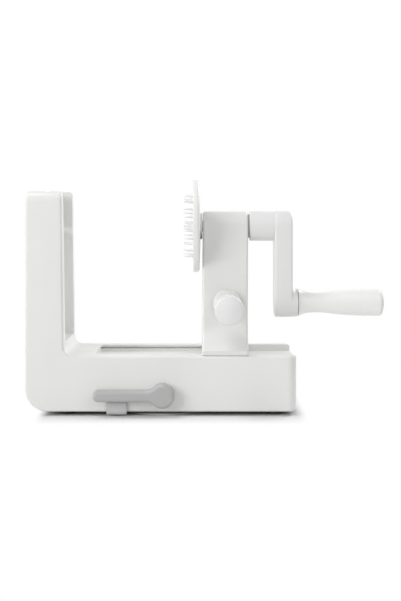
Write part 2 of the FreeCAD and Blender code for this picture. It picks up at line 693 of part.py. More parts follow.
def suction_lever():
    """Lever with a soft front edge and a blind socket for its shaft."""
    lever = lever_outline().extrude(at(0, -LEVER_THICK, 0))
    lever.translate(at(0, LEVER_BACK_Y, LEVER_Z))
    front = edges_where(lever, lambda middle: abs(middle.y - LEVER_FACE_Y) < TINY)
    socket = rod(LEVER_SHAFT_RADIUS + PRESS_FIT, at(0, LEVER_BACK_Y - LEVER_SOCKET, LEVER_Z),
                 at(0, LEVER_BACK_Y + PAST, LEVER_Z))
    return lever.makeFillet(LEVER_EDGE_ROUND, front).cut(socket)


def lever_shaft():
    """Steel shaft from the lever's socket to just past the inner rib, grooved for its clip."""
    shaft = rod(LEVER_SHAFT_RADIUS, at(0, LEVER_BACK_Y - LEVER_SOCKET + GAP, LEVER_Z),
                at(0, CLIP_Y - GAP + SHAFT_PAST_RIB, LEVER_Z))
    neck = tube(LEVER_SHAFT_RADIUS + CLIP_GROOVE, LEVER_SHAFT_RADIUS - CLIP_GROOVE,
                at(0, CLIP_Y, LEVER_Z), at(0, CLIP_Y + CLIP_THICK, LEVER_Z))
    return shaft.cut(neck)


def lever_clip():
    """Spring clip in the shaft's groove, open on one side."""
    ring = tube(LEVER_SHAFT_RADIUS + CLIP_RIM, LEVER_SHAFT_RADIUS - CLIP_GROOVE + SCREW_FIT,
                at(0, CLIP_Y + SCREW_FIT, LEVER_Z), at(0, CLIP_Y + CLIP_THICK - SCREW_FIT, LEVER_Z))
    mouth = LEVER_SHAFT_RADIUS - 2 * CLIP_GROOVE
    return ring.cut(block(-mouth, mouth, CLIP_Y - PAST, CLIP_Y + CLIP_THICK + PAST,
                          LEVER_Z - LEVER_SHAFT_RADIUS - 2 * CLIP_RIM, LEVER_Z))


def lever_bush(sleeve_start, sleeve_end, flange_start, flange_end):
    """Flanged bush for the lever's shaft, along Y."""
    bore = LEVER_SHAFT_RADIUS + RUNNING_FIT
    sleeve = tube(LEVER_BUSH_RADIUS, bore, at(0, sleeve_start, LEVER_Z), at(0, sleeve_end, LEVER_Z))
    flange = tube(LEVER_BUSH_RADIUS + LEVER_BUSH_FLANGE, bore, at(0, flange_start, LEVER_Z),
                  at(0, flange_end, LEVER_Z))
    return joined([sleeve, flange])


def lever_bush_outer():
    """Bush pressed into the near wall's bearing from inside."""
    inner_end = -HALF + WALL + OUTER_BEARING_LENGTH
    return lever_bush(-HALF, inner_end, inner_end, inner_end + LEVER_BUSH_FLANGE)


def lever_bush_inner():
    """Bush in the rib beyond the cam."""
    return lever_bush(INNER_BEARING_Y, INNER_BEARING_Y + INNER_BEARING_LENGTH,
                      INNER_BEARING_Y - LEVER_BUSH_FLANGE, INNER_BEARING_Y)


# Carriage

def post_section(inset):
    """Post seen along the shaft: broad foot, hollow flanks and a round bearing housing."""
    foot = POST_FOOT_HALF - inset
    waist = POST_WAIST_HALF - inset
    radius = HOUSING_RADIUS - inset
    foot_z = POST_UNDER_Z
    step_z = foot_z + POST_FOOT_HEIGHT - inset
    lean = math.atan2(POST_WAIST_HALF - HOUSING_RADIUS, SHAFT_Z - POST_WAIST_Z)
    touch = at(radius * math.cos(lean), SHAFT_Z + radius * math.sin(lean), 0)
    place = on_yz(POST_FRONT_X)
    middle_y = waist + (foot - waist) * FLANK_MID_OUT
    middle_z = step_z + (POST_WAIST_Z - step_z) * FLANK_MID_UP
    edges = []
    for side in (1, -1):
        flank = Part.BSplineCurve()
        flank.interpolate([place(at(side * foot, step_z, 0)),
                           place(at(side * middle_y, middle_z, 0)),
                           place(at(side * waist, POST_WAIST_Z, 0))],
                          InitialTangent=at(0, -side * math.cos(FLANK_FOOT_ANGLE),
                                            math.sin(FLANK_FOOT_ANGLE)),
                          FinalTangent=at(0, -side * math.cos(FLANK_WAIST_ANGLE),
                                          math.sin(FLANK_WAIST_ANGLE)))
        edges.append(Part.LineSegment(place(at(side * foot, foot_z, 0)),
                                      place(at(side * foot, step_z, 0))).toShape())
        edges.append(flank.toShape())
        edges.append(Part.LineSegment(place(at(side * waist, POST_WAIST_Z, 0)),
                                      place(at(side * touch.x, touch.y, 0))).toShape())
    edges.append(Part.Arc(place(at(touch.x, touch.y, 0)), place(at(0, SHAFT_Z + radius, 0)),
                          place(at(-touch.x, touch.y, 0))).toShape())
    edges.append(Part.LineSegment(place(at(-foot, foot_z, 0)), place(at(foot, foot_z, 0))).toShape())
    face = Part.Face(Part.Wire(Part.__sortEdges__(edges)))
    return face.extrude(at(POST_TOP_REAR_X - POST_FRONT_X, 0, 0))


def post_side(inset):
    """Post seen from the side: both faces lean to the rear by a little."""
    top = SHAFT_Z + HOUSING_RADIUS + WALL
    front = POST_FRONT_X + inset
    rear = POST_REAR_X - inset
    return outline([(front, POST_UNDER_Z - WALL, 0), (rear, POST_UNDER_Z - WALL, 0),
                    (rear + POST_REAR_LEAN, top, 0), (front + POST_FRONT_DRAFT, top, 0)],
                   on_xz(-HALF)).extrude(at(0, BODY_WIDTH, 0))


def runner_screw_places():
    front = POST_FRONT_X + RIB_INSET
    rear = POST_REAR_X - RIB_INSET - FOOT_RIB / 2
    return [(x, y) for x in (front, rear) for y in (-POST_SCREW_Y, POST_SCREW_Y)]


def carriage_post():
    """Moulded tower, hollow from below, with a bored housing and a boss for the side handle."""
    outer = post_section(0).common(post_side(0))
    face_edges = edges_where(outer, lambda middle: middle.z > POST_UNDER_Z + TINY
                             and (middle.x < POST_FRONT_X + POST_FRONT_DRAFT + TINY
                                  or middle.x > POST_REAR_X - TINY))
    outer = outer.makeFillet(POST_EDGE_ROUND, face_edges)
    hollow = post_section(POST_WALL).common(post_side(POST_WALL))
    hollow = hollow.common(block(POST_FRONT_X, POST_TOP_REAR_X, -HALF, HALF,
                                 POST_UNDER_Z - WALL, HOUSING_FLOOR_Z))
    ribs = []
    for x in sorted({place[0] for place in runner_screw_places()}):
        ribs.append(block(x - FOOT_RIB / 2, x + FOOT_RIB / 2, -HALF, HALF,
                          POST_UNDER_Z + RUNNER_TOP_PLATE, RIB_TOP_Z).common(hollow))
    boss = rod(HANDLE_ROOT_RADIUS - SIDE_BOSS_INSET, SIDE_ROOT,
               at(SIDE_HANDLE_X, NUT_SEAT_Y, SIDE_HANDLE_Z))
    holes = [rod(BUSH_OUTER + PRESS_FIT, at(POST_FRONT_X - PAST, 0, SHAFT_Z),
                 at(POST_TOP_REAR_X + PAST, 0, SHAFT_Z)),
             rod(AXLE_RADIUS + SCREW_FIT, SIDE_ROOT + TO_NEAR * PAST,
                 at(SIDE_HANDLE_X, 0, SIDE_HANDLE_Z))]
    for x, y in runner_screw_places():
        holes.append(rod(SCREW_RADIUS + SCREW_FIT, at(x, y, POST_UNDER_Z),
                         at(x, y, POST_UNDER_Z + RUNNER_TOP_PLATE + POST_SCREW_DEPTH + GAP)))
    return joined([outer.cut(hollow), boss] + ribs).cut(holes)


def runner_head_z(x):
    """Lowest point of a screw head: sunk in the runner, or flush with the bare plate."""
    return CHANNEL_Z + RUNNER_SCREW_SKIN if x > RUNNER_FRONT_X else POST_UNDER_Z


def carriage_runner():
    """Plate inside the post's foot with the runner and its two tongues below."""
    inset = POST_WALL + GAP
    plate_half = POST_FOOT_HALF - inset - RUNNER_TOP_PLATE
    plate = block(POST_FRONT_X + inset, POST_REAR_X - inset, -plate_half, plate_half,
                  POST_UNDER_Z, POST_UNDER_Z + RUNNER_TOP_PLATE)
    half = CHANNEL_HALF - GAP
    corner = CHANNEL_CORNER + GAP
    core = outline([(RUNNER_FRONT_X, -half, corner), (POST_REAR_X, -half, 0),
                    (POST_REAR_X, half, 0), (RUNNER_FRONT_X, half, corner)],
                   on_xy(CHANNEL_Z + GAP)).extrude(at(0, 0, POST_UNDER_Z - CHANNEL_Z - GAP))
    tongue_half = CHANNEL_HALF + LIP_REACH - GAP
    tongue = block(RUNNER_FRONT_X, POST_REAR_X, -tongue_half, tongue_half,
                   DECK_Z - LIP_THICK - LIP_GROOVE + GAP, DECK_Z - LIP_THICK - GAP)
    holes = []
    for x, y in runner_screw_places():
        holes.append(rod(SCREW_RADIUS + SCREW_FIT, at(x, y, CHANNEL_Z),
                         at(x, y, POST_UNDER_Z + RUNNER_TOP_PLATE + PAST)))
        head_z = runner_head_z(x)
        holes.append(rod(SCREW_HEAD_RADIUS + 2 * SCREW_FIT, at(x, y, CHANNEL_Z), at(x, y, head_z)))
        holes.append(taper(SCREW_HEAD_RADIUS + SCREW_FIT, SCREW_RADIUS + SCREW_FIT,
                           at(x, y, head_z), at(x, y, head_z + SCREW_HEAD)))
    return joined([plate, core, tongue]).cut(holes)


def carriage_screws():
    solids = []
    for x, y in runner_screw_places():
        solids.append(screw(at(x, y, POST_UNDER_Z + RUNNER_TOP_PLATE + POST_SCREW_DEPTH),
                            at(x, y, runner_head_z(x)), SCREW_RADIUS, SCREW_HEAD_RADIUS, SCREW_HEAD))
    return solids


def shaft_bush(start_x, end_x):
    return tube(BUSH_OUTER, SHAFT_RADIUS + RUNNING_FIT, at(start_x, 0, SHAFT_Z), at(end_x, 0, SHAFT_Z))


# Handles

def handle(root, axis, side, bore_radius, end_bore_radius):
    """Turned handle from its root outwards, bored for its axle and sunk for its cap."""
    def place(along, radius):
        return root + axis * along + side * radius

    flank = Part.BSplineCurve()
    flank.interpolate([place(along, radius) for along, radius in HANDLE_FORM])
    shoulder = HANDLE_FORM[-1]
    round_x = HANDLE_LENGTH - HANDLE_END_ROUND
    round_start = place(round_x, shoulder[1] - HANDLE_END_DRAFT)
    end_radius = shoulder[1] - HANDLE_END_DRAFT - HANDLE_END_ROUND
    bend = HANDLE_END_ROUND * math.sqrt(0.5)
    round_end = place(HANDLE_LENGTH, end_radius)
    edges = [flank.toShape(),
             Part.LineSegment(place(*shoulder), round_start).toShape(),
             Part.Arc(round_start, place(round_x + bend, end_radius + bend), round_end).toShape(),
             Part.LineSegment(round_end, place(HANDLE_LENGTH, 0)).toShape(),
             Part.LineSegment(place(HANDLE_LENGTH, 0), place(0, 0)).toShape(),
             Part.LineSegment(place(0, 0), place(*HANDLE_FORM[0])).toShape()]
    solid = Part.Face(Part.Wire(edges)).revolve(root, axis, 360)
    end_seat = HANDLE_LENGTH - CAP_THICK
    return solid.cut([rod(bore_radius, root - axis, root + axis * AXLE_SEAT),
                      rod(end_bore_radius, root + axis * AXLE_SEAT, root + axis * end_seat),
                      rod(CAP_RADIUS, root + axis * end_seat, root + axis * (HANDLE_LENGTH + PAST))])


def handle_cap(root, axis):
    """Shallow domed cap that closes the handle's end."""
    start = root + axis * (HANDLE_LENGTH - CAP_THICK + SCREW_FIT)
    bevel = root + axis * (HANDLE_LENGTH - CAP_BEVEL)
    radius = CAP_RADIUS - SCREW_FIT
    return joined([rod(radius, start, bevel),
                   taper(radius, radius - 2 * CAP_BEVEL, bevel, root + axis * HANDLE_LENGTH)])


def headed_axle(start, seat, axis):
    """Plain axle with a round head beyond the seat."""
    return joined([rod(AXLE_RADIUS, start, seat),
                   rod(AXLE_HEAD_RADIUS, seat - axis * TINY, seat + axis * AXLE_HEAD_THICK)])


def grip_axle():
    """Steel axle pressed into the arm, with a head that keeps the grip on."""
    return headed_axle(at(ARM_REAR_X - AXLE_SOCKET + GAP, 0, GRIP_Z),
                       GRIP_ROOT + ALONG_X * (AXLE_SEAT + GAP), ALONG_X)


def side_handle_stud():
    return headed_axle(at(SIDE_HANDLE_X, STUD_INNER_Y, SIDE_HANDLE_Z),
                       SIDE_ROOT + TO_NEAR * AXLE_SEAT, TO_NEAR)


def side_handle_nut():
    """Hexagon nut on the stud inside the post."""
    inner = at(SIDE_HANDLE_X, NUT_SEAT_Y, SIDE_HANDLE_Z)
    points = []
    for corner in range(NUT_SIDES + 1):
        angle = 2 * math.pi * corner / NUT_SIDES
        points.append(inner + at(AXLE_HEAD_RADIUS * math.cos(angle), 0,
                                 AXLE_HEAD_RADIUS * math.sin(angle)))
    nut = Part.Face(Part.makePolygon(points)).extrude(at(0, NUT_THICK, 0))
    return nut.cut(rod(AXLE_RADIUS + PRESS_FIT, inner + TO_NEAR * PAST,
                       inner - TO_NEAR * (NUT_THICK + PAST)))


# Crank

def crank_shaft():
    """Steel shaft, drilled at both ends for the screws that hold the holder and the arm."""
    shaft = rod(SHAFT_RADIUS, at(SHAFT_FRONT_X, 0, SHAFT_Z), at(SHAFT_REAR_X, 0, SHAFT_Z))
    return shaft.cut([rod(END_SCREW_RADIUS, at(SHAFT_FRONT_X - PAST, 0, SHAFT_Z),
                          at(SHAFT_FRONT_X + SHAFT_SCREW_DEPTH, 0, SHAFT_Z)),
                      rod(END_SCREW_RADIUS, at(SHAFT_REAR_X - SHAFT_SCREW_DEPTH, 0, SHAFT_Z),
                          at(SHAFT_REAR_X + PAST, 0, SHAFT_Z))])


def food_holder():
    """Toothed disc that grips the food: a turned plate with rings of tapering teeth."""
    collar_end = COLLAR_END_X - HOLDER_FRONT_X
    plate = turned([(0, 0, 0), (0, HOLDER_RADIUS, HOLDER_FRONT_ROUND),
                    (HOLDER_RIM_THICK, HOLDER_RADIUS, HOLDER_BACK_ROUND),
                    (HOLDER_THICK, HOLDER_COLLAR_RADIUS + HOLDER_COLLAR_BLEND, HOLDER_COLLAR_BLEND),
                    (HOLDER_THICK, HOLDER_COLLAR_RADIUS, 0),
                    (collar_end, HOLDER_COLLAR_RADIUS, 0), (collar_end, 0, 0)],
                   at(HOLDER_FRONT_X, 0, SHAFT_Z), ALONG_X, UP)
    teeth = []
    for radius, count, start in zip(TOOTH_RING_RADII, TOOTH_COUNTS, TOOTH_START_DEGREES):
        for index in range(count):
            angle = math.radians(start) + 2 * math.pi * index / count
            y = radius * math.cos(angle)
            z = SHAFT_Z + radius * math.sin(angle)
            teeth.append(taper(TOOTH_ROOT_RADIUS, TOOTH_TIP_RADIUS,
                               at(HOLDER_FRONT_X + TOOTH_ROOT_DEPTH, y, z),
                               at(HOLDER_FRONT_X - TOOTH_LENGTH, y, z)))
    socket = rod(SHAFT_RADIUS + PRESS_FIT, at(SHAFT_FRONT_X - PRESS_FIT, 0, SHAFT_Z),
                 at(COLLAR_END_X + PAST, 0, SHAFT_Z))
    sink = rod(END_SCREW_HEAD_RADIUS + SCREW_FIT, at(HOLDER_FRONT_X - PAST, 0, SHAFT_Z),
               at(HOLDER_FRONT_X + SEAT_GAP + END_SCREW_HEAD, 0, SHAFT_Z))
    hole = rod(END_SCREW_RADIUS, at(HOLDER_FRONT_X, 0, SHAFT_Z), at(SHAFT_FRONT_X + PAST, 0, SHAFT_Z))
    return plate.fuse(teeth).cut([socket, sink, hole])


def end_screw(head_x, inward):
    """Machine screw along the shaft's axis. inward is 1 or -1."""
    head_end = at(head_x + inward * END_SCREW_HEAD, 0, SHAFT_Z)
    return joined([rod(END_SCREW_HEAD_RADIUS, at(head_x, 0, SHAFT_Z), head_end),
                   rod(END_SCREW_RADIUS - SCREW_FIT, head_end - at(inward * TINY, 0, 0),
                       at(head_x + inward * END_SCREW_LENGTH, 0, SHAFT_Z))])


def arm_plate():
    """Tapering plate of the arm with soft edges. Its toe is sunk a little below the toe boss."""
    toe_radius = ARM_TOE_RADIUS - SCREW_FIT
    lean = math.asin((ARM_HEAD_RADIUS - toe_radius) / THROW)
    place = on_yz(ARM_FRONT_X)
    head = [place(at(side * ARM_HEAD_RADIUS * math.cos(lean),
                     SHAFT_Z - ARM_HEAD_RADIUS * math.sin(lean), 0)) for side in (1, -1)]
    toe = [place(at(side * toe_radius * math.cos(lean),
                    GRIP_Z - toe_radius * math.sin(lean), 0)) for side in (1, -1)]
    crown = place(at(0, SHAFT_Z + ARM_HEAD_RADIUS, 0))
    foot = place(at(0, GRIP_Z - toe_radius, 0))
    face = Part.Face(Part.Wire([Part.Arc(head[0], crown, head[1]).toShape(),
                                Part.LineSegment(head[1], toe[1]).toShape(),
                                Part.Arc(toe[1], foot, toe[0]).toShape(),
                                Part.LineSegment(toe[0], head[0]).toShape()]))
    plate = face.extrude(at(ARM_THICK, 0, 0))
    return plate.makeFillet(ARM_EDGE_ROUND, edges_where(plate, lambda middle: (
        abs(middle.x - ARM_FRONT_X) < TINY or abs(middle.x - ARM_REAR_X) < TINY)))


def arm_toe():
    """Boss at the arm's end that runs out into the collar, and the hollow web above the collar."""
    start = at(ARM_FRONT_X, 0, GRIP_Z)
    collar_end = ARM_THICK + COLLAR_LENGTH
    boss = turned([(0, 0, 0), (0, ARM_TOE_RADIUS, ARM_EDGE_ROUND),
                   (ARM_THICK - ARM_EDGE_ROUND, ARM_TOE_RADIUS, 0),
                   (collar_end, HANDLE_ROOT_RADIUS, COLLAR_ROUND), (collar_end, 0, 0)],
                  start, ALONG_X, UP)
    low = HANDLE_ROOT_RADIUS - 2 * SEAT_GAP
    web_end = collar_end - COLLAR_ROUND
    web = turned([(ARM_THICK / 2, 0, 0), (ARM_THICK / 2, WEB_TOP, 0), (ARM_THICK - WEB_SINK, WEB_TOP, 0),
                  (ARM_THICK + WEB_LEAN, low, WEB_ROUND), (web_end, low, 0), (web_end, 0, 0)],
                 start, ALONG_X, UP)
    half = ARM_TOE_RADIUS - ARM_EDGE_ROUND
    web = web.common(block(ARM_FRONT_X, ARM_REAR_X + COLLAR_LENGTH, -half, half,
                           GRIP_Z, GRIP_Z + WEB_TOP))
    flanks = edges_where(web, lambda middle: abs(abs(middle.y) - half) < TINY
                         and middle.x > ARM_REAR_X - WEB_SINK + TINY and middle.z > GRIP_Z + half / 2
                         and middle.x < ARM_FRONT_X + web_end - TINY)
    return [boss, web.makeFillet(WEB_EDGE_ROUND, flanks)]


def crank_arm():
    """Hub, arm and the short collar that the grip turns against."""
    hub_length = ARM_FRONT_X - HUB_START_X + ARM_EDGE_ROUND
    hub = turned([(0, 0, 0), (0, HUB_RADIUS, HUB_ROUND), (hub_length, HUB_RADIUS, 0),
                  (hub_length, 0, 0)], at(HUB_START_X, 0, SHAFT_Z), ALONG_X, UP)
    holes = [rod(SHAFT_RADIUS + PRESS_FIT, at(HUB_START_X - PAST, 0, SHAFT_Z),
                 at(SHAFT_REAR_X, 0, SHAFT_Z)),
             rod(END_SCREW_RADIUS, at(SHAFT_REAR_X - PAST, 0, SHAFT_Z), at(ARM_REAR_X, 0, SHAFT_Z)),
             rod(ARM_SINK_RADIUS, at(ARM_REAR_X - ARM_SINK, 0, SHAFT_Z),
                 at(ARM_REAR_X + PAST, 0, SHAFT_Z)),
             rod(AXLE_RADIUS + PRESS_FIT, at(ARM_REAR_X - AXLE_SOCKET, 0, GRIP_Z),
                 at(ARM_REAR_X + COLLAR_LENGTH + PAST, 0, GRIP_Z))]
    return joined([arm_plate(), hub] + arm_toe()).cut(holes)


def crank_screw_cap():
    """Plug that hides the arm's screw."""
    start_x = ARM_REAR_X - ARM_SINK + END_SCREW_HEAD + ARM_PLUG_GAP
    return rod(ARM_SINK_RADIUS - SCREW_FIT, at(start_x, 0, SHAFT_Z), at(ARM_REAR_X, 0, SHAFT_Z))


def shaft_washer():
    return tube(HUB_RADIUS - WASHER_INSET, SHAFT_RADIUS + RUNNING_FIT, at(WASHER_START_X, 0, SHAFT_Z),
                at(HUB_START_X - SEAT_GAP, 0, SHAFT_Z))


# Blade cassette

def cassette_frame():
    """Plate that slides down between the cheeks, with its throat, comb slot and lifting lip."""
    plate = outline([(-CASSETTE_HALF, CASSETTE_FOOT_Z, CASSETTE_CORNER),
                     (CASSETTE_HALF, CASSETTE_FOOT_Z, CASSETTE_CORNER),
                     (CASSETTE_HALF, CASSETTE_TOP_Z, CASSETTE_CORNER),
                     (-CASSETTE_HALF, CASSETTE_TOP_Z, CASSETTE_CORNER)],
                    on_yz(CASSETTE_BACK_X)).extrude(at(CASSETTE_THICK, 0, 0))
    window_half = HALF - CHEEK
    lip_half = window_half - PULL_LIP_INSET
    lip = block(CASSETTE_BACK_X - PULL_LIP_DEPTH, CASSETTE_BACK_X + PAST, -lip_half, lip_half,
                CASSETTE_TOP_Z - PULL_LIP_HEIGHT, CASSETTE_TOP_Z)
    panel_half = window_half - PANEL_MARGIN
    front = CASSETTE_X + PAST
    back = CASSETTE_BACK_X - PAST
    panel = block(CASSETTE_X - PANEL_SINK, front, -panel_half, panel_half,
                  SILL_Z + PANEL_FOOT, SHAFT_Z - PANEL_TOP_DROP)
    throat = block(back, front, BLADE_START_Y, BLADE_END_Y - BLADE_SIDE_GAP,
                   BLADE_EDGE_Z + BLADE_EDGE_DROP - THROAT, BLADE_EDGE_Z + BLADE_EDGE_DROP)
    comb_z = BLADE_EDGE_Z - COMB_BELOW
    comb_half = COMB_THICK / 2 + SCREW_FIT
    comb = block(back, front, BLADE_START_Y - SCREW_FIT, BLADE_END_Y + SCREW_FIT,
                 comb_z - comb_half, comb_z + comb_half)
    core = rod(CORE_RADIUS + PRESS_FIT, at(back, 0, SHAFT_Z), at(front, 0, SHAFT_Z))
    holes = [panel, throat, comb, core]
    for y in BLADE_SCREW_PLACES:
        holes.append(rod(SCREW_RADIUS + SCREW_FIT, at(CASSETTE_X - BLADE_SCREW_REACH - GAP, y, BLADE_SCREW_Z),
                         at(front, y, BLADE_SCREW_Z)))
    return joined([plate, lip]).cut(holes)


def spiral_blade():
    """Steel blade screwed flat to the plate, cranked out over the throat to a ground edge."""
    low = BLADE_EDGE_Z
    bend = low + BLADE_RISE
    high = low + BLADE_WIDTH
    back = CASSETTE_X + SCREW_FIT
    front = back + BLADE_THICK
    crest = back + BLADE_LIFT_X
    corners = [(back, high), (back, bend), (crest, low),
               (crest + BLADE_THICK * BLADE_EDGE_SHARE, low + BLADE_BEVEL),
               (front, bend + GAP), (front, high), (back, high)]
    section = Part.Face(Part.makePolygon([at(x, BLADE_START_Y, z) for x, z in corners]))
    blade = section.extrude(at(0, BLADE_END_Y - BLADE_START_Y, 0))
    return blade.cut([rod(SCREW_RADIUS + SCREW_FIT, at(back - PAST, y, BLADE_SCREW_Z),
                          at(front + PAST, y, BLADE_SCREW_Z)) for y in BLADE_SCREW_PLACES])


def comb_blade():
    """Steel strip with a row of pointed teeth that score the food into strands."""
    comb_z = BLADE_EDGE_Z - COMB_BELOW - COMB_THICK / 2
    back = CASSETTE_BACK_X + COMB_RECESS
    count = int((BLADE_END_Y - BLADE_START_Y) / COMB_PITCH)
    points = [at(back, BLADE_START_Y, comb_z), at(CASSETTE_X, BLADE_START_Y, comb_z)]
    for index in range(count):
        y = BLADE_START_Y + (index + 0.5) * COMB_PITCH
        points.append(at(CASSETTE_X, y - COMB_PITCH * COMB_TOOTH_SHARE, comb_z))
        points.append(at(CASSETTE_X + COMB_TOOTH, y, comb_z))
        points.append(at(CASSETTE_X, y + COMB_PITCH * COMB_TOOTH_SHARE, comb_z))
    points.append(at(CASSETTE_X, BLADE_END_Y, comb_z))
    points.append(at(back, BLADE_END_Y, comb_z))
    points.append(points[0])
    return Part.Face(Part.makePolygon(points)).extrude(at(0, 0, COMB_THICK))


def coring_tube():
    """Steel ring on the shaft's axis that cuts out the core and centres the food."""
    start = at(CASSETTE_BACK_X, 0, SHAFT_Z)
    rim = at(CASSETTE_X + CORE_STAND - CORE_BEVEL, 0, SHAFT_Z)
    edge = at(CASSETTE_X + CORE_STAND, 0, SHAFT_Z)
    bore = CORE_RADIUS - CORE_WALL
    outer = joined([rod(CORE_RADIUS, start, rim), taper(CORE_RADIUS, bore + CORE_EDGE, rim, edge)])
    return outer.cut(rod(bore, start - ALONG_X, edge + ALONG_X))


def blade_screws():
    solids = []
    head_x = CASSETTE_X + BLADE_THICK + 2 * SCREW_FIT
    for y in BLADE_SCREW_PLACES:
        shank = rod(SCREW_RADIUS, at(CASSETTE_X - BLADE_SCREW_REACH, y, BLADE_SCREW_Z),
                    at(head_x, y, BLADE_SCREW_Z))
        head = rod(SCREW_HEAD_RADIUS, at(head_x, y, BLADE_SCREW_Z),
                   at(head_x + BLADE_SCREW_HEAD, y, BLADE_SCREW_Z))
        head = head.makeFillet(BLADE_SCREW_ROUND, edges_where(
            head, lambda middle: middle.x > head_x + BLADE_SCREW_HEAD - TINY))
        solids.append(joined([shank, head]))
    return solids


def build():
    os.makedirs("parts", exist_ok=True)
    save("main_body", [main_body()])
    save("bottom_cover", [bottom_cover()])
    save("bottom_screws", bottom_screws())
    save("rubber_feet", rubber_feet())
    save("lever_bush_outer", [lever_bush_outer()])
    save("lever_bush_inner", [lever_bush_inner()])
    save("suction_pad", [suction_pad()])
    save("stem_yoke", [stem_yoke()])
    save("stem_spring", [stem_spring()])
    save("suction_lever", [suction_lever()])
    save("lever_shaft", [lever_shaft()])
    save("lever_cam", [lever_cam()])
    save("lever_clip", [lever_clip()])
    save("carriage_post", [carriage_post()])
    save("carriage_runner", [carriage_runner()])
    save("carriage_screws", carriage_screws())
    save("shaft_bush_front", [shaft_bush(BUSH_FRONT_X, BUSH_FRONT_X + BUSH_LENGTH)])
    save("shaft_bush_rear", [shaft_bush(BUSH_REAR_X - BUSH_LENGTH, BUSH_REAR_X)])
    save("side_handle", [handle(SIDE_ROOT, TO_NEAR, ALONG_X, AXLE_RADIUS + PRESS_FIT,
                                AXLE_HEAD_RADIUS + SCREW_FIT)])
    save("side_handle_cap", [handle_cap(SIDE_ROOT, TO_NEAR)])
    save("side_handle_stud", [side_handle_stud()])
    save("side_handle_nut", [side_handle_nut()])
    save("crank_shaft", [crank_shaft()])
    save("food_holder", [food_holder()])
    save("holder_screw", [end_screw(HOLDER_FRONT_X + SEAT_GAP, 1)])
    save("shaft_washer", [shaft_washer()])
    save("crank_arm", [crank_arm()])
    save("crank_screw", [end_screw(ARM_REAR_X - ARM_SINK + END_SCREW_HEAD, -1)])
    save("crank_screw_cap", [crank_screw_cap()])
    save("grip_axle", [grip_axle()])
    save("crank_grip", [handle(GRIP_ROOT, ALONG_X, UP, AXLE_RADIUS + RUNNING_FIT,
                               AXLE_HEAD_RADIUS + GAP)])
    save("crank_grip_cap", [handle_cap(GRIP_ROOT, ALONG_X)])
    save("cassette_frame", [cassette_frame()])
    save("spiral_blade", [spiral_blade()])
    save("comb_blade", [comb_blade()])
    save("coring_tube", [coring_tube()])
    save("blade_screws", blade_screws())


build()
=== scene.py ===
"""Hand cranked spiralizer: finishes, handles, rubber parts, spring and screws, and the studio.

Every length is in metres in the frame's own axes: X along the deck to the crank, Y across, Z up.
"""

import math

import bpy
import numpy as np
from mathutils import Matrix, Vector


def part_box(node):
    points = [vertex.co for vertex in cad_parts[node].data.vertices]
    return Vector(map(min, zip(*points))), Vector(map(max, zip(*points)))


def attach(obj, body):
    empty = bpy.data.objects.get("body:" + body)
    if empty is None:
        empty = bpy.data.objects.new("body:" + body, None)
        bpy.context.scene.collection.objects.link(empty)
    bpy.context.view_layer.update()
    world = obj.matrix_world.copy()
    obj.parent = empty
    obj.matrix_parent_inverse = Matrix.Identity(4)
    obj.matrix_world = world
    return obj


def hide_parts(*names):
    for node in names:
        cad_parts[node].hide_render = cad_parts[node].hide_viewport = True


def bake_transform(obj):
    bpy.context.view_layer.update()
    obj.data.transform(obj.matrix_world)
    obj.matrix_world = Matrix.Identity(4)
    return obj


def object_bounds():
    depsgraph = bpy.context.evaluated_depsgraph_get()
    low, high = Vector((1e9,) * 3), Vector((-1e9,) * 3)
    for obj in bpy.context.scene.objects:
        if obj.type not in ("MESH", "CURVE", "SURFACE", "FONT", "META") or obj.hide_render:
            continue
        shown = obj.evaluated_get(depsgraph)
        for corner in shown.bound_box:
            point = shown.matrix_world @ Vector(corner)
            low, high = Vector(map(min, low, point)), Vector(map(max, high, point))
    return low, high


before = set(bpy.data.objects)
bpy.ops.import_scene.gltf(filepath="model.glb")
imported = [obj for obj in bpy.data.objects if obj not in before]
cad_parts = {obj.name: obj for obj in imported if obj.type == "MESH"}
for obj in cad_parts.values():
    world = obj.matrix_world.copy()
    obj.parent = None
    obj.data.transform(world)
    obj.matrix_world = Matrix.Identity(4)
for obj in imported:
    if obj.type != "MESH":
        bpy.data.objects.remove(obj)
CAD_LOW, CAD_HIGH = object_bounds()

bl_info = {
    "name": "Spiralizer dressing",
    "version": (1, 0, 0),
    "blender": (4, 5, 0),
    "location": "View3D > Sidebar > Spiralizer",
    "description": "Moulded plastics, steel, rubber parts and studio of a hand cranked spiralizer",
    "category": "Object",
}

MM = 0.001
WELD_DISTANCE = 1e-6
EDGE_DEGREES = 28.0

# Finish, then the nodes that have it. The finish names the colour property and the recipe. One
# without nodes is made for the pieces that stand for nodes.
MOULDED = {
    "white_shell": ["main_body"],
    "white_carriage": ["carriage_post", "carriage_runner"],
    "white_handle": ["crank_arm", "crank_screw_cap"],
    "white_holder": ["food_holder"],
    "cassette_white": ["cassette_frame"],
    # handle_cap is a greyer copy of the handles' white: painted shade on the caps' rounded ends.
    "handle_cap": [],
    "grey_lever": ["suction_lever"],
    "under_cover": ["bottom_cover"],
    "bearing_plastic": ["lever_bush_outer", "lever_bush_inner", "shaft_bush_front",
                        "shaft_bush_rear", "lever_cam", "stem_yoke", "shaft_washer"],
}
STEEL = {
    "blade_steel": ["spiral_blade", "comb_blade", "coring_tube"],
    "axle_steel": ["crank_shaft", "grip_axle", "lever_shaft", "side_handle_stud"],
    "screw_steel": ["crank_screw", "side_handle_nut", "lever_clip"],
}

# Handles: new piece, its cap, their nodes, body, axis and direction, and flat on the root or not
HANDLES = (
    ("turning_grip", "turning_grip_cap", "crank_grip", "crank_grip_cap", "grip", 0, 1, False),
    ("steadying_handle", "steadying_handle_cap", "side_handle", "side_handle_cap", "carriage",
     1, -1, True),
)
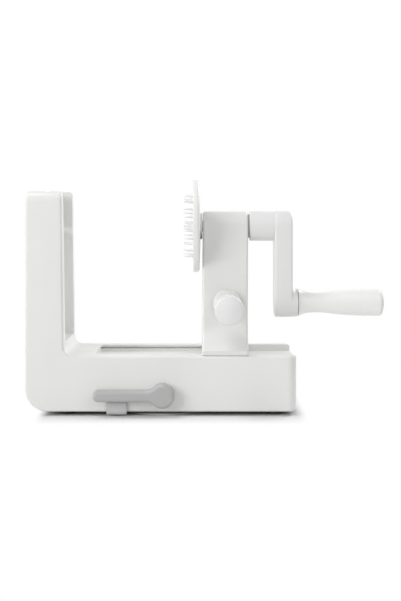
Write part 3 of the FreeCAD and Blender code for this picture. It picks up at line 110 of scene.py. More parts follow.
# Flank of a handle: distance from the root and radius, in metres, up to the belly
HANDLE_FLANK = ((0.0003, 0.0144), (0.0042, 0.0125), (0.0083, 0.0113), (0.0125, 0.0106),
                (0.0190, 0.0103), (0.0270, 0.0106), (0.0400, 0.0122), (0.0520, 0.0133),
                (0.0660, 0.0139), (0.0780, 0.01405), (0.0815, 0.01405))

# New piece, the node that it stands for, its body, axis, direction of its head, countersunk or not
SCREWS = (
    ("cover_screws", "bottom_screws", "base", 2, -1, True),
    ("runner_screws", "carriage_screws", "carriage", 2, -1, True),
    ("blade_plate_screws", "blade_screws", "blade_cassette", 0, 1, False),
    ("holder_centre_screw", "holder_screw", "crank", 0, -1, False),
)

# Lamps in the order in which they are hung: name, place, side and the property with the power
LAMPS = (
    ("key_light", (-1.8, -1.6, 0.8), 1.3, "key_power"),
    ("top_light", (-0.8, 0.0, 2.4), 0.9, "top_power"),
    ("rear_light", (1.65, 1.65, 1.35), 1.3, "rear_power"),
    ("fill_light", (1.5, -1.8, 1.2), 1.2, "fill_power"),
)


# Properties

def colour(name, description, default):
    """A colour that the user may change, as linear red, green and blue."""
    return bpy.props.FloatVectorProperty(
        name=name, description=description, default=default, size=3, min=0.0, max=1.0,
        subtype="COLOR")


def length(name, description, default):
    """A length in metres that the user may change."""
    return bpy.props.FloatProperty(
        name=name, description=description, default=default, min=0.0, unit="LENGTH", precision=5)


def share(name, description, default):
    """A share from nothing to one."""
    return bpy.props.FloatProperty(
        name=name, description=description, default=default, min=0.0, max=1.0, subtype="FACTOR")


def power(name, description, default):
    """A lamp's power in watts."""
    return bpy.props.FloatProperty(
        name=name, description=description, default=default, min=0.0, unit="POWER")


class SPIRALIZER_PG_colours(bpy.types.PropertyGroup):
    white_shell: colour("Body", "White of the body moulding", (0.845, 0.845, 0.832))
    white_carriage: colour("Carriage", "White of the sliding post", (0.800, 0.798, 0.788))
    white_handle: colour("Handles", "White of the arm and both handles", (0.800, 0.800, 0.796))
    white_holder: colour("Food holder", "White of the toothed disc", (0.865, 0.866, 0.856))
    cassette_white: colour("Cassette", "White of the blade plate", (0.840, 0.840, 0.835))
    # The caps' greyer white is painted shade, standing in for the shade on their rounded ends.
    handle_cap: colour("Handle caps", "Slightly greyer white of the caps", (0.750, 0.746, 0.752))
    grey_lever: colour("Lever", "Grey of the suction lever", (0.458, 0.458, 0.458))
    grey_rubber: colour("Suction pad", "Grey of the flexible pad and tab", (0.590, 0.586, 0.594))
    foot_rubber: colour("Feet", "Dark grey of the rubber feet", (0.045, 0.044, 0.046))
    under_cover: colour("Bottom cover", "Grey of the cover underneath", (0.230, 0.225, 0.220))
    bearing_plastic: colour("Bushes", "Natural white of the bearing plastic", (0.620, 0.610, 0.570))
    blade_steel: colour("Blades", "Hardened strip steel", (0.640, 0.640, 0.650))
    axle_steel: colour("Axles", "Ground round steel", (0.560, 0.560, 0.570))
    screw_steel: colour("Screws", "Zinc plated steel", (0.600, 0.600, 0.590))


class SPIRALIZER_PG_finish(bpy.types.PropertyGroup):
    grain: length("Mould grain", "Spacing of the fine sparked grain", 0.00045)
    cloud: length("Cloud", "Size of the faint uneven patches", 0.035)
    # The edge width also sets how far the painted highlight along edges reaches.
    edge_width: length("Edge width", "How far wear reaches from an edge", 0.0012)
    gloss_spread: share("Gloss spread", "How unevenly the plastic shines", 0.10)
    grind: length("Grinding mark", "Spacing of the grinding marks on steel", 0.00035)


class SPIRALIZER_PG_pad(bpy.types.PropertyGroup):
    radius: length("Radius", "Outer radius of the pad", 0.0500)
    cup_radius: length("Cup radius", "Radius inside the sealing lip", 0.0440)
    cup_height: length("Cup height", "Rise of the underside inside the lip", 0.0008)
    web: length("Web", "Height of the flat top", 0.0028)
    boss_radius: length("Boss radius", "Radius of the boss under the stem", 0.0150)
    boss_height: length("Boss height", "Height of the boss", 0.0052)
    tab_middle: length("Tab middle", "Distance of the tab from the stem along the deck", 0.0457)
    tab_width: length("Tab width", "Width of the pull tab", 0.0205)
    tab_thick: length("Tab thickness", "Thickness of the pull tab", 0.0030)
    tab_rim: length("Tab rim", "Height of the raised rim along the tab's sides", 0.0008)
    tab_top: length("Tab top", "Height of the tab's free end", 0.0150)
    tab_lift: length("Tab lift", "Height of the tab's underside over the counter", 0.0012)


class SPIRALIZER_PG_small_parts(bpy.types.PropertyGroup):
    screw_radius: length("Screw radius", "Outer radius of the thread", 0.0015)
    head_height: length("Head height", "Height of a countersunk head", 0.0016)
    pitch: length("Thread pitch", "Distance from thread to thread", 0.0011)
    thread_depth: length("Thread depth", "Depth of the thread", 0.00028)
    slot_width: share("Recess width", "Width of a recess arm against the head's radius", 0.26)
    slot_reach: share("Recess reach", "Length of a recess arm against the head's radius", 0.60)
    slot_depth: length("Recess depth", "Depth of the cross recess", 0.0009)
    foot_radius: length("Foot radius", "Radius of a rubber foot", 0.0070)
    wire: length("Spring wire", "Radius of the spring's wire", 0.0007)
    turns: bpy.props.IntProperty(
        name="Spring turns", description="Turns of the spring", default=5, min=1)


class SPIRALIZER_PG_handles(bpy.types.PropertyGroup):
    seam: length("Seam", "Distance of the cap's seam from the handle's end", 0.0045)
    seam_depth: length("Seam depth", "Depth of the groove along the seam", 0.00025)
    dome: length("Dome", "Radius of the cap's crowned face", 0.027)
    corner: length("Corner", "Rounding from the crowned face to the side", 0.0036)
    root_flat: length("Root flat", "Height of the flat on the fixed handle's root", 0.0131)
    bore: length("Bore", "Radius of the bore round the axle", 0.00425)


class SPIRALIZER_PG_studio(bpy.types.PropertyGroup):
    surround: bpy.props.FloatProperty(
        name="Surround", description="Light from all round", default=0.30, min=0.0)
    key_power: power("Key light", "Power of the soft light from the front on the left", 27.0)
    top_power: power("Top light", "Power of the soft light from above", 20.0)
    rear_power: power("Rear light", "Power of the soft light from the rear on the right", 34.0)
    fill_power: power("Fill light", "Power of the soft light from the front on the right", 11.0)
    floor: colour("Counter", "Pale counter", (0.80, 0.80, 0.80))
    white_from: length("White from", "Distance from the base where the counter turns white", 0.052)
    camera_place: bpy.props.FloatVectorProperty(
        name="Camera", description="Where the camera stands", default=(0.0365, -1.195, 0.208),
        size=3, subtype="XYZ", unit="LENGTH")
    lens: bpy.props.FloatProperty(
        name="Lens", description="Focal length in millimetres", default=68.3, min=1.0)
    shift_x: bpy.props.FloatProperty(
        name="Shift across", description="Camera shift across the frame", default=0.0025)
    shift_y: bpy.props.FloatProperty(
        name="Shift up", description="Camera shift up the frame", default=-0.154)


class SPIRALIZER_PG_settings(bpy.types.PropertyGroup):
    colours: bpy.props.PointerProperty(
        type=SPIRALIZER_PG_colours, name="Colours", description="Colour of each finish")
    finish: bpy.props.PointerProperty(
        type=SPIRALIZER_PG_finish, name="Finish", description="Scale of the surface detail")
    pad: bpy.props.PointerProperty(
        type=SPIRALIZER_PG_pad, name="Suction pad", description="Sizes of the suction pad")
    handles: bpy.props.PointerProperty(
        type=SPIRALIZER_PG_handles, name="Handles", description="Sizes of the two handles")
    small: bpy.props.PointerProperty(
        type=SPIRALIZER_PG_small_parts, name="Small parts", description="Sizes of screws and feet")
    studio: bpy.props.PointerProperty(
        type=SPIRALIZER_PG_studio, name="Studio", description="Lights, counter and camera")


# Nodes

def feed(tree, value, socket):
    """Links an output to the socket, or writes the value there."""
    if isinstance(value, bpy.types.NodeSocket):
        tree.links.new(value, socket)
    else:
        socket.default_value = value


def add(tree, kind, inputs=None, **settings):
    """A new node with its settings and its inputs, by name or number."""
    node = tree.nodes.new("ShaderNode" + kind)
    for name, value in settings.items():
        setattr(node, name, value)
    for name, value in (inputs or {}).items():
        feed(tree, value, node.inputs[name])
    return node


def work_out(tree, operation, first, second=0.0, clamp=False):
    """The output of one sum of two numbers."""
    node = add(tree, "Math", {0: first, 1: second}, operation=operation, use_clamp=clamp)
    return node.outputs[0]


def noise(tree, place, scale, detail, rough=0.5):
    """A noise between nothing and one over the given place."""
    node = add(tree, "TexNoise", {"Vector": place, "Scale": scale, "Detail": detail,
                                  "Roughness": rough})
    return node.outputs["Fac"]


def ramp(tree, value, low, high):
    """Turns low into nothing and high into one, smoothly."""
    node = add(tree, "MapRange", {"Value": value, "From Min": low, "From Max": high},
               interpolation_type="SMOOTHSTEP")
    return node.outputs["Result"]


def new_group(name, inputs, outputs):
    """An empty shader node group with named sockets. Returns the tree, its input and its output."""
    tree = bpy.data.node_groups.new(name, "ShaderNodeTree")
    for label, kind in inputs:
        tree.interface.new_socket(name=label, in_out="INPUT", socket_type="NodeSocket" + kind)
    for label, kind in outputs:
        tree.interface.new_socket(name=label, in_out="OUTPUT", socket_type="NodeSocket" + kind)
    return tree, tree.nodes.new("NodeGroupInput"), tree.nodes.new("NodeGroupOutput")


def mix_colour(tree, factor, first, second):
    """Mixes two colours and returns the colour output."""
    node = tree.nodes.new("ShaderNodeMix")
    node.data_type = "RGBA"
    feed(tree, factor, node.inputs[0])
    feed(tree, first, node.inputs[6])
    feed(tree, second, node.inputs[7])
    return node.outputs[2]


def build_moulded_skin():
    """Injection moulded plastic: faint clouds, a sparked grain and hairline handling marks.

    Inputs are the place, the colour, the cloud and grain frequencies, the middle roughness and its
    spread. Outputs are the colour, the roughness and a height between nothing and one.
    """
    tree, given, made = new_group(
        "Moulded skin",
        [("Place", "Vector"), ("Colour", "Color"), ("Cloud", "Float"), ("Grain", "Float"),
         ("Roughness", "Float"), ("Spread", "Float"), ("Shade", "Float")],
        [("Colour", "Color"), ("Roughness", "Float"), ("Height", "Float")])
    place = given.outputs["Place"]
    clouds = noise(tree, place, given.outputs["Cloud"], 3.0, 0.55)
    grain = noise(tree, place, given.outputs["Grain"], 2.0, 0.6)
    darker = work_out(tree, "MULTIPLY", ramp(tree, clouds, 0.35, 0.75), given.outputs["Shade"])
    shaded = mix_colour(tree, darker, given.outputs["Colour"], (0.55, 0.54, 0.51, 1.0))
    stretched = add(tree, "Mapping", {"Vector": place, "Rotation": (0.3, 0.5, 0.8),
                                      "Scale": (900.0, 26.0, 26.0)})
    marks = ramp(tree, noise(tree, stretched.outputs[0], 1.0, 2.0, 0.7), 0.66, 0.76)
    patches = ramp(tree, noise(tree, place, 21.0, 2.0), 0.45, 0.70)
    marks = work_out(tree, "MULTIPLY", marks, patches)
    swing = work_out(tree, "MULTIPLY", work_out(tree, "SUBTRACT", clouds, 0.5), 2.0)
    swing = work_out(tree, "ADD", swing, marks)
    rough = work_out(tree, "MULTIPLY", swing, given.outputs["Spread"])
    rough = work_out(tree, "ADD", rough, given.outputs["Roughness"], clamp=True)
    height = work_out(tree, "SUBTRACT", grain, work_out(tree, "MULTIPLY", marks, 0.35))
    feed(tree, shaded, made.inputs["Colour"])
    feed(tree, rough, made.inputs["Roughness"])
    feed(tree, height, made.inputs["Height"])
    return tree


def build_edge_wear_and_highlight():
    """Mask that rises from nothing on a flat face to one on an edge, broken up by a noise.

    It compares the surface's normal with the normal rounded over the width: their dot product
    falls from one as an edge comes near.
    """
    tree, given, made = new_group(
        "Edge wear", [("Place", "Vector"), ("Width", "Float")], [("Mask", "Float")])
    rounded = add(tree, "Bevel", {"Radius": given.outputs["Width"]}, samples=6)
    surface = add(tree, "NewGeometry")
    product = add(tree, "VectorMath", {0: rounded.outputs[0], 1: surface.outputs["Normal"]},
                  operation="DOT_PRODUCT")
    edge = ramp(tree, work_out(tree, "SUBTRACT", 1.0, product.outputs["Value"]), 0.004, 0.12)
    breaks = ramp(tree, noise(tree, given.outputs["Place"], 260.0, 3.0, 0.6), 0.30, 0.62)
    feed(tree, work_out(tree, "MULTIPLY", edge, breaks), made.inputs["Mask"])
    return tree


def build_ground_steel():
    """Ground or drawn steel: fine lines along one axis over a slow change of brightness."""
    tree, given, made = new_group(
        "Ground steel",
        [("Place", "Vector"), ("Colour", "Color"), ("Stretch", "Vector"), ("Roughness", "Float")],
        [("Colour", "Color"), ("Roughness", "Float"), ("Height", "Float")])
    lines_place = add(tree, "VectorMath", {0: given.outputs["Place"], 1: given.outputs["Stretch"]},
                      operation="MULTIPLY")
    lines = noise(tree, lines_place.outputs[0], 1.0, 3.0, 0.65)
    slow = noise(tree, given.outputs["Place"], 90.0, 2.0)
    deep = ramp(tree, lines, 0.35, 0.70)
    darker = work_out(tree, "MULTIPLY", deep, 0.22)
    feed(tree, mix_colour(tree, darker, given.outputs["Colour"], (0.33, 0.32, 0.31, 1.0)),
         made.inputs["Colour"])
    rough = work_out(tree, "MULTIPLY", work_out(tree, "ADD", deep, slow), 0.11)
    feed(tree, work_out(tree, "ADD", rough, given.outputs["Roughness"], clamp=True),
         made.inputs["Roughness"])
    feed(tree, lines, made.inputs["Height"])
    return tree


def build_rubber_bloom():
    """Rubber: a dry bloom in patches, pin pricks of dust and a fine matt grain."""
    tree, given, made = new_group(
        "Rubber bloom",
        [("Place", "Vector"), ("Colour", "Color"), ("Bloom", "Color"), ("Roughness", "Float")],
        [("Colour", "Color"), ("Roughness", "Float"), ("Height", "Float")])
    place = given.outputs["Place"]
    patches = ramp(tree, noise(tree, place, 85.0, 4.0, 0.6), 0.38, 0.72)
    dust = add(tree, "TexVoronoi", {"Vector": place, "Scale": 900.0, "Randomness": 1.0})
    specks = ramp(tree, dust.outputs["Distance"], 0.16, 0.05)
    amount = work_out(tree, "ADD", work_out(tree, "MULTIPLY", patches, 0.30),
                      work_out(tree, "MULTIPLY", specks, 0.18), clamp=True)
    feed(tree, mix_colour(tree, amount, given.outputs["Colour"], given.outputs["Bloom"]),
         made.inputs["Colour"])
    rough = work_out(tree, "ADD", work_out(tree, "MULTIPLY", patches, 0.16),
                     given.outputs["Roughness"], clamp=True)
    feed(tree, rough, made.inputs["Roughness"])
    grain = noise(tree, place, 2600.0, 2.0)
    feed(tree, work_out(tree, "ADD", grain, work_out(tree, "MULTIPLY", specks, 0.4)),
         made.inputs["Height"])
    return tree


def shared_group(name):
    """The shared node group of that name, built the first time that it is asked for."""
    builders = {"Moulded skin": build_moulded_skin, "Edge wear": build_edge_wear_and_highlight,
                "Ground steel": build_ground_steel, "Rubber bloom": build_rubber_bloom}
    return bpy.data.node_groups.get(name) or builders[name]()


def place_group(tree, name, inputs):
    node = tree.nodes.new("ShaderNodeGroup")
    node.node_tree = shared_group(name)
    for label, value in inputs.items():
        feed(tree, value, node.inputs[label])
    return node


def start_material(name):
    """An empty material with a Principled shader. Returns material, tree, shader and place."""
    material = bpy.data.materials.new(name)
    material.use_nodes = True
    tree = material.node_tree
    tree.nodes.clear()
    shader = tree.nodes.new("ShaderNodeBsdfPrincipled")
    output = tree.nodes.new("ShaderNodeOutputMaterial")
    tree.links.new(shader.outputs[0], output.inputs[0])
    place = tree.nodes.new("ShaderNodeTexCoord").outputs["Object"]
    return material, tree, shader, place


def with_bump(tree, shader, height, depth):
    """Feeds a height between nothing and one, that many metres deep, to the shader's normal."""
    bump = add(tree, "Bump", {"Height": height, "Distance": depth, "Strength": 1.0})
    tree.links.new(bump.outputs[0], shader.inputs["Normal"])


def opaque(rgb):
    return (*rgb, 1.0)


def moulded_material(name, rgb, roughness, shade, grain_depth, finish):
    """Moulded plastic with its grain, faint clouds and edges polished by hands and lightened,
    partly as wear and partly as a painted highlight.
    """
    material, tree, shader, place = start_material(name)
    skin = place_group(tree, "Moulded skin", {
        "Place": place, "Colour": opaque(rgb), "Cloud": 1.0 / finish.cloud,
        "Grain": 1.0 / finish.grain, "Roughness": roughness, "Spread": finish.gloss_spread,
        "Shade": shade})
    wear = place_group(tree, "Edge wear", {"Place": place, "Width": finish.edge_width})
    # Lighter colour along edges: partly wear, partly a painted highlight; the lower roughness there
    # is polish.
    polished = work_out(tree, "MULTIPLY", wear.outputs["Mask"], 0.10)
    worn_and_highlit = work_out(tree, "MULTIPLY", wear.outputs["Mask"], 0.22)
    pale = tuple(0.35 + 0.62 * channel for channel in rgb)
    tree.links.new(mix_colour(tree, worn_and_highlit, skin.outputs["Colour"], opaque(pale)),
                   shader.inputs["Base Color"])
    tree.links.new(work_out(tree, "SUBTRACT", skin.outputs["Roughness"], polished),
                   shader.inputs["Roughness"])
    with_bump(tree, shader, skin.outputs["Height"], grain_depth)
    return material


def steel_material(name, rgb, roughness, stretch, finish):
    """Steel with ground lines along its shortest stretch."""
    material, tree, shader, place = start_material(name)
    skin = place_group(tree, "Ground steel", {
        "Place": place, "Colour": opaque(rgb), "Stretch": stretch, "Roughness": roughness})
    tree.links.new(skin.outputs["Colour"], shader.inputs["Base Color"])
    tree.links.new(skin.outputs["Roughness"], shader.inputs["Roughness"])
    shader.inputs["Metallic"].default_value = 1.0
    with_bump(tree, shader, skin.outputs["Height"], 0.02 * finish.grind)
    return material


def rubber_material(name, rgb, roughness):
    """Matt rubber with bloom."""
    material, tree, shader, place = start_material(name)
    pale = tuple(0.25 + 0.6 * channel for channel in rgb)
    skin = place_group(tree, "Rubber bloom", {
        "Place": place, "Colour": opaque(rgb), "Bloom": opaque(pale), "Roughness": roughness})
    tree.links.new(skin.outputs["Colour"], shader.inputs["Base Color"])
    tree.links.new(skin.outputs["Roughness"], shader.inputs["Roughness"])
    with_bump(tree, shader, skin.outputs["Height"], 0.00004)
    return material


# Surfaces

def softened(points, rounds):
    """Cuts the corners of an open line: each round puts two points on every side, at a quarter
    and three quarters of it, and keeps the two ends."""
    line = np.asarray(points, float)
    for _ in range(rounds):
        near = 0.75 * line[:-1] + 0.25 * line[1:]
        far = 0.25 * line[:-1] + 0.75 * line[1:]
        line = np.concatenate([line[:1], np.stack([near, far], 1).reshape(-1, 2), line[-1:]])
    return line


def skin_over(rings, looped=False):
    """Closed skin over a stack of rings: quads join each ring to the next. A looped stack joins its
    last ring to its first, and in any other a fan of triangles joins each end ring to its own
    middle. The faces are turned outwards by the sign of the volume they enclose."""
    count, around, _ = rings.shape
    middles = rings[[0, -1]].mean(axis=1)
    points = rings.reshape(-1, 3) if looped else np.concatenate([rings.reshape(-1, 3), middles])
    ring, step = np.meshgrid(np.arange(count if looped else count - 1), np.arange(around),
                             indexing="ij")
    here, above = ring * around + step, (ring + 1) % count * around + step
    turned = (step + 1) % around - step
    quads = np.stack([here, here + turned, above + turned, above], -1).reshape(-1, 4)
    step = np.arange(0 if looped else around)
    after = (step + 1) % around
    top = (count - 1) * around
    first = np.stack([np.full(len(step), count * around), after, step], -1)
    last = np.stack([np.full(len(step), count * around + 1), top + step, top + after], -1)
    triangles = np.concatenate([quads[:, [0, 1, 2]], quads[:, [0, 2, 3]], first, last])
    a, b, c = (points[triangles[:, k]] for k in range(3))
    volume = np.einsum("ij,ij->i", a, np.cross(b, c)).sum()
    faces = [quads, first, last]
    if volume < 0:
        faces = [face[:, ::-1] for face in faces]
    return points, [row for face in faces for row in face.tolist()]


def put_together(name, skins):
    """One object from several closed skins, smooth shaded."""
    points, faces, start = [], [], 0
    for skin_points, skin_faces in skins:
        points.append(skin_points)
        faces += [[corner + start for corner in face] for face in skin_faces]
        start += len(skin_points)
    mesh = bpy.data.meshes.new(name)
    mesh.from_pydata(np.concatenate(points).tolist(), [], faces)
    mesh.validate()
    mesh.shade_smooth()
    piece = bpy.data.objects.new(name, mesh)
    bpy.context.scene.collection.objects.link(piece)
    return piece


def shaded_by_angle(piece, degrees=35.0):
    """Smooth shading that keeps the edges sharper than the angle."""
    piece.data.set_sharp_from_angle(angle=math.radians(degrees))


def lathe(profile, centre, around):
    """Rings of a turned form about the upright through centre: a profile point (radius, height)
    goes to x = radius cos t, y = radius sin t, z = height as t goes round once."""
    turn = np.arange(around) * 2 * np.pi / around
    radius, height = profile[:, 0, None], profile[:, 1, None]
    return np.stack([centre[0] + radius * np.cos(turn), centre[1] + radius * np.sin(turn),
                     centre[2] + height * np.ones_like(turn)], -1)


def strap(line, half_width, half_thick, rim, middle_x, around):
    """Rings of a strap whose middle follows a line in the plane of Y and Z. The section is a
    superellipse of power six, half_width across X and half_thick along the line's normal. A low
    ridge near each side is added on the face that the normal leaves: it looks up where the line
    runs to -Y, and to +Y, at the wall, where the line climbs."""
    turn = np.arange(around) * 2 * np.pi / around
    cosine, sine = np.cos(turn), np.sin(turn)
    across = np.sign(cosine) * np.abs(cosine) ** (1.0 / 3.0)
    through = np.sign(sine) * np.abs(sine) ** (1.0 / 3.0)
    ridge = rim * np.exp(-((np.abs(across) - 0.86) / 0.07) ** 2) * (through > 0.5)
    along = np.gradient(line, axis=0)
    along /= np.linalg.norm(along, axis=1)[:, None]
    outward = np.stack([along[:, 1], -along[:, 0]], -1)
    offset = half_thick[:, None] * through + ridge
    x = middle_x + half_width[:, None] * across
    y = line[:, 0, None] + outward[:, 0, None] * offset
    z = line[:, 1, None] + outward[:, 1, None] * offset
    return np.stack([x, y, z], -1)


def loose_solids(node, axis):
    """Lowest and highest corners of a node's solids, which stand 10 mm or more apart across the
    axis."""
    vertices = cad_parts[node].data.vertices
    points = np.empty(3 * len(vertices))
    vertices.foreach_get("co", points)
    points = points.reshape(-1, 3)
    solids = []
    while len(points):
        across = np.delete(points - points[0], axis, axis=1)
        near = np.linalg.norm(across, axis=1) < 10 * MM
        solids.append((points[near].min(axis=0), points[near].max(axis=0)))
        points = points[~near]
    return solids


def screw_rings(sizes, length, shank_radius, head_radius, head_height, countersunk, around=48):
    """Rings of a screw from its tip at nothing to the middle of its recess, along the third axis.

    The shank's radius is the screw radius less a saw tooth of height along a helix. The head's
    side is a cone, or a straight side with a quarter round. The top face is the length less the
    recess depth where a point lies in one of two crossing bars.
    """
    turn = np.arange(around) * 2 * np.pi / around
    under = length - head_height
    ones = np.ones((1, around))
    levels = np.linspace(min(1.2 * MM, under / 3), under, 60)[:, None]
    wave = (levels / sizes.pitch - turn / (2 * np.pi)) % 1.0
    shank_side = shank_radius - sizes.thread_depth * np.abs(2.0 * wave - 1.0)
    if countersunk:
        side = np.array([[shank_radius, under], [head_radius, length - 0.2 * MM],
                         [head_radius, length - 0.08 * MM]])
    else:
        swell = np.linspace(0.0, np.pi / 2, 7)
        curve = 0.55 * head_height
        side = np.concatenate([[[shank_radius, under], [head_radius, under]], np.stack([
            head_radius - curve * (1 - np.cos(swell)), length - curve * (1 - np.sin(swell))], -1)])
    face_radius = np.linspace(side[-1, 0] - 0.08 * MM, 0.12 * MM, 22)[:, None]
    across, up = face_radius * np.cos(turn), face_radius * np.sin(turn)
    narrow = np.minimum(np.abs(across), np.abs(up))
    far = np.maximum(np.abs(across), np.abs(up))
    half, reach = sizes.slot_width * head_radius / 2, sizes.slot_reach * head_radius
    in_bar = np.clip((half - narrow) / (0.1 * MM), 0, 1) * np.clip((reach - far) / (0.3 * MM), 0, 1)
    radius = np.concatenate([0.3 * MM * ones, shank_side, side[:, :1] * ones, face_radius * ones])
    level = np.concatenate([0.0 * ones, levels * ones, side[:, 1:] * ones,
                            length - min(sizes.slot_depth, 0.7 * head_height) * in_bar])
    return np.stack([radius * np.cos(turn), radius * np.sin(turn), level], -1)


def finish_piece(piece, body, slot, material, *nodes):
    """Gives a new piece its material and body, and hides the CAD nodes that it stands for. The slot
    is not used.
    """
    piece.data.materials.append(material)
    if body:
        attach(piece, body)
    if nodes:
        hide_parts(*nodes)
    return piece


def coat_nodes(names, material):
    """Gives CAD nodes a material and smooth shading that keeps their edges."""
    for name in names:
        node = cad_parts[name]
        node.data.materials.clear()
        node.data.materials.append(material)
        if not node.modifiers:
            weld = node.modifiers.new("Weld", "WELD")
            weld.merge_threshold = WELD_DISTANCE
            node.data.shade_smooth()
            split = node.modifiers.new("Edges", "EDGE_SPLIT")
            split.split_angle = math.radians(EDGE_DEGREES)


# Operators

class SPIRALIZER_OT_studio(bpy.types.Operator):
    """Pale counter, white surround, soft lights and the camera"""

    bl_idname = "spiralizer.studio"
    bl_label = "Set up the studio"

    def execute(self, context):
        studio = context.scene.spiralizer.studio
        lay_counter(studio)
        light_surround(studio)
        for name, place, side, watts in LAMPS:
            hang_light(name, place, side, getattr(studio, watts))
        set_camera(studio)
        context.scene.view_settings.view_transform = "Standard"
        return {"FINISHED"}


def seen_directly(tree):
    """One where a ray comes from the camera, a reflection or clear material, else nothing."""
    path = tree.nodes.new("ShaderNodeLightPath")
    seen = work_out(tree, "MAXIMUM", path.outputs["Is Camera Ray"], path.outputs["Is Glossy Ray"])
    return work_out(tree, "MAXIMUM", seen, path.outputs["Is Transmission Ray"])


def lay_counter(studio):
    """A large flat counter. Away from the object it turns into the white of the background."""
    half = 4.0
    mesh = bpy.data.meshes.new("counter")
    mesh.from_pydata([(-half, -half, 0), (half, -half, 0), (half, half, 0), (-half, half, 0)],
                     [], [(0, 1, 2, 3)])
    counter = bpy.data.objects.new("counter", mesh)
    bpy.context.scene.collection.objects.link(counter)
    material = bpy.data.materials.new("counter_white")
    material.use_nodes = True
    tree = material.node_tree
    tree.nodes.clear()
    place = tree.nodes.new("ShaderNodeTexCoord").outputs["Object"]
    low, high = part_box("bottom_cover")
    middle = ((low.x + high.x) / 2, (low.y + high.y) / 2, 0.0)
    half_box = ((high.x - low.x) / 2, (high.y - low.y) / 2, 1.0)
    moved = add(tree, "VectorMath", {0: place, 1: middle}, operation="SUBTRACT")
    sized = add(tree, "VectorMath", {0: moved.outputs[0]}, operation="ABSOLUTE")
    beyond = add(tree, "VectorMath", {0: sized.outputs[0], 1: half_box}, operation="SUBTRACT")
    outside = add(tree, "VectorMath", {0: beyond.outputs[0], 1: (0.0, 0.0, 0.0)},
                  operation="MAXIMUM")
    sideways = add(tree, "VectorMath", {0: outside.outputs[0], 1: (4.0, 1.0, 1.0)},
                   operation="MULTIPLY")
    distance = add(tree, "VectorMath", {0: sideways.outputs[0]}, operation="LENGTH")
    far = ramp(tree, distance.outputs["Value"], 0.0, studio.white_from)
    share_white = work_out(tree, "MULTIPLY", far, seen_directly(tree))
    speckle = noise(tree, place, 30.0, 2.0)
    pale = mix_colour(tree, work_out(tree, "MULTIPLY", speckle, 0.04), opaque(studio.floor),
                      (0.70, 0.70, 0.70, 1.0))
    lit = add(tree, "BsdfDiffuse", {"Color": pale})
    white = add(tree, "Emission", {"Color": (1.0, 1.0, 1.0, 1.0), "Strength": 1.0})
    mixed = add(tree, "MixShader", {0: share_white, 1: lit.outputs[0], 2: white.outputs[0]})
    output = tree.nodes.new("ShaderNodeOutputMaterial")
    tree.links.new(mixed.outputs[0], output.inputs[0])
    counter.data.materials.append(material)


def light_surround(studio):
    """World that lights softly from all round and shows white."""
    world = bpy.data.worlds.new("surround")
    bpy.context.scene.world = world
    world.use_nodes = True
    tree = world.node_tree
    tree.nodes.clear()
    soft = add(tree, "Background", {"Color": (1.0, 1.0, 1.0, 1.0), "Strength": studio.surround})
    white = add(tree, "Background", {"Color": (1.0, 1.0, 1.0, 1.0), "Strength": 1.0})
    mixed = add(tree, "MixShader", {0: seen_directly(tree), 1: soft.outputs[0],
                                    2: white.outputs[0]})
    output = tree.nodes.new("ShaderNodeOutputWorld")
    tree.links.new(mixed.outputs[0], output.inputs[0])


def hang_light(name, place, size, power):
    """A square soft light that faces the middle of the object."""
    light = bpy.data.lights.new(name, "AREA")
    light.shape = "SQUARE"
    light.size = size
    light.energy = power
    lamp = bpy.data.objects.new(name, light)
    bpy.context.scene.collection.objects.link(lamp)
    lamp.location = place
    aim = (CAD_LOW + CAD_HIGH) / 2 - Vector(place)
    lamp.rotation_euler = aim.to_track_quat("-Z", "Y").to_euler()


def set_camera(studio):
    """Camera level with the disc's middle, looking along +Y, with the frame shifted down."""
    camera = bpy.data.cameras.new("camera")
    camera.lens = studio.lens
    camera.sensor_width = 36.0
    camera.shift_x = studio.shift_x
    camera.shift_y = studio.shift_y
    holder = bpy.data.objects.new("camera", camera)
    bpy.context.scene.collection.objects.link(holder)
    holder.location = studio.camera_place
    holder.rotation_euler = (math.radians(90.0), 0.0, 0.0)
    bpy.context.scene.camera = holder


class SPIRALIZER_OT_mouldings(bpy.types.Operator):
    """Plastic finish of every moulded node"""

    bl_idname = "spiralizer.mouldings"
    bl_label = "Finish the mouldings"

    def execute(self, context):
        settings = context.scene.spiralizer
        recipes = {  # roughness, how much the clouds shade, depth of the grain in metres
            "white_shell": (0.36, 0.045, 0.000010),
            "white_carriage": (0.38, 0.045, 0.000010),
            "white_handle": (0.34, 0.040, 0.000008),
            "white_holder": (0.40, 0.050, 0.000012),
            "cassette_white": (0.34, 0.040, 0.000010),
            "handle_cap": (0.42, 0.060, 0.000016),
            "grey_lever": (0.40, 0.060, 0.000014),
            "under_cover": (0.55, 0.080, 0.000030),
            "bearing_plastic": (0.30, 0.060, 0.000006),
        }
        for slot, nodes in MOULDED.items():
            roughness, shade, depth = recipes[slot]
            material = moulded_material(slot, getattr(settings.colours, slot), roughness, shade,
                                        depth, settings.finish)
            coat_nodes(nodes, material)
        return {"FINISHED"}


class SPIRALIZER_OT_steel(bpy.types.Operator):
    """Steel finish of blades, axles and fasteners"""

    bl_idname = "spiralizer.steel"
    bl_label = "Finish the steel"

    def execute(self, context):
        settings = context.scene.spiralizer
        fine = 1.0 / settings.finish.grind
        stretches = {"blade_steel": (fine, 60.0, fine), "axle_steel": (fine, fine, fine * 0.2),
                     "screw_steel": (fine, fine, fine)}
        for slot, nodes in STEEL.items():
            material = steel_material(slot, getattr(settings.colours, slot), 0.22,
                                      stretches[slot], settings.finish)
            coat_nodes(nodes, material)
        return {"FINISHED"}


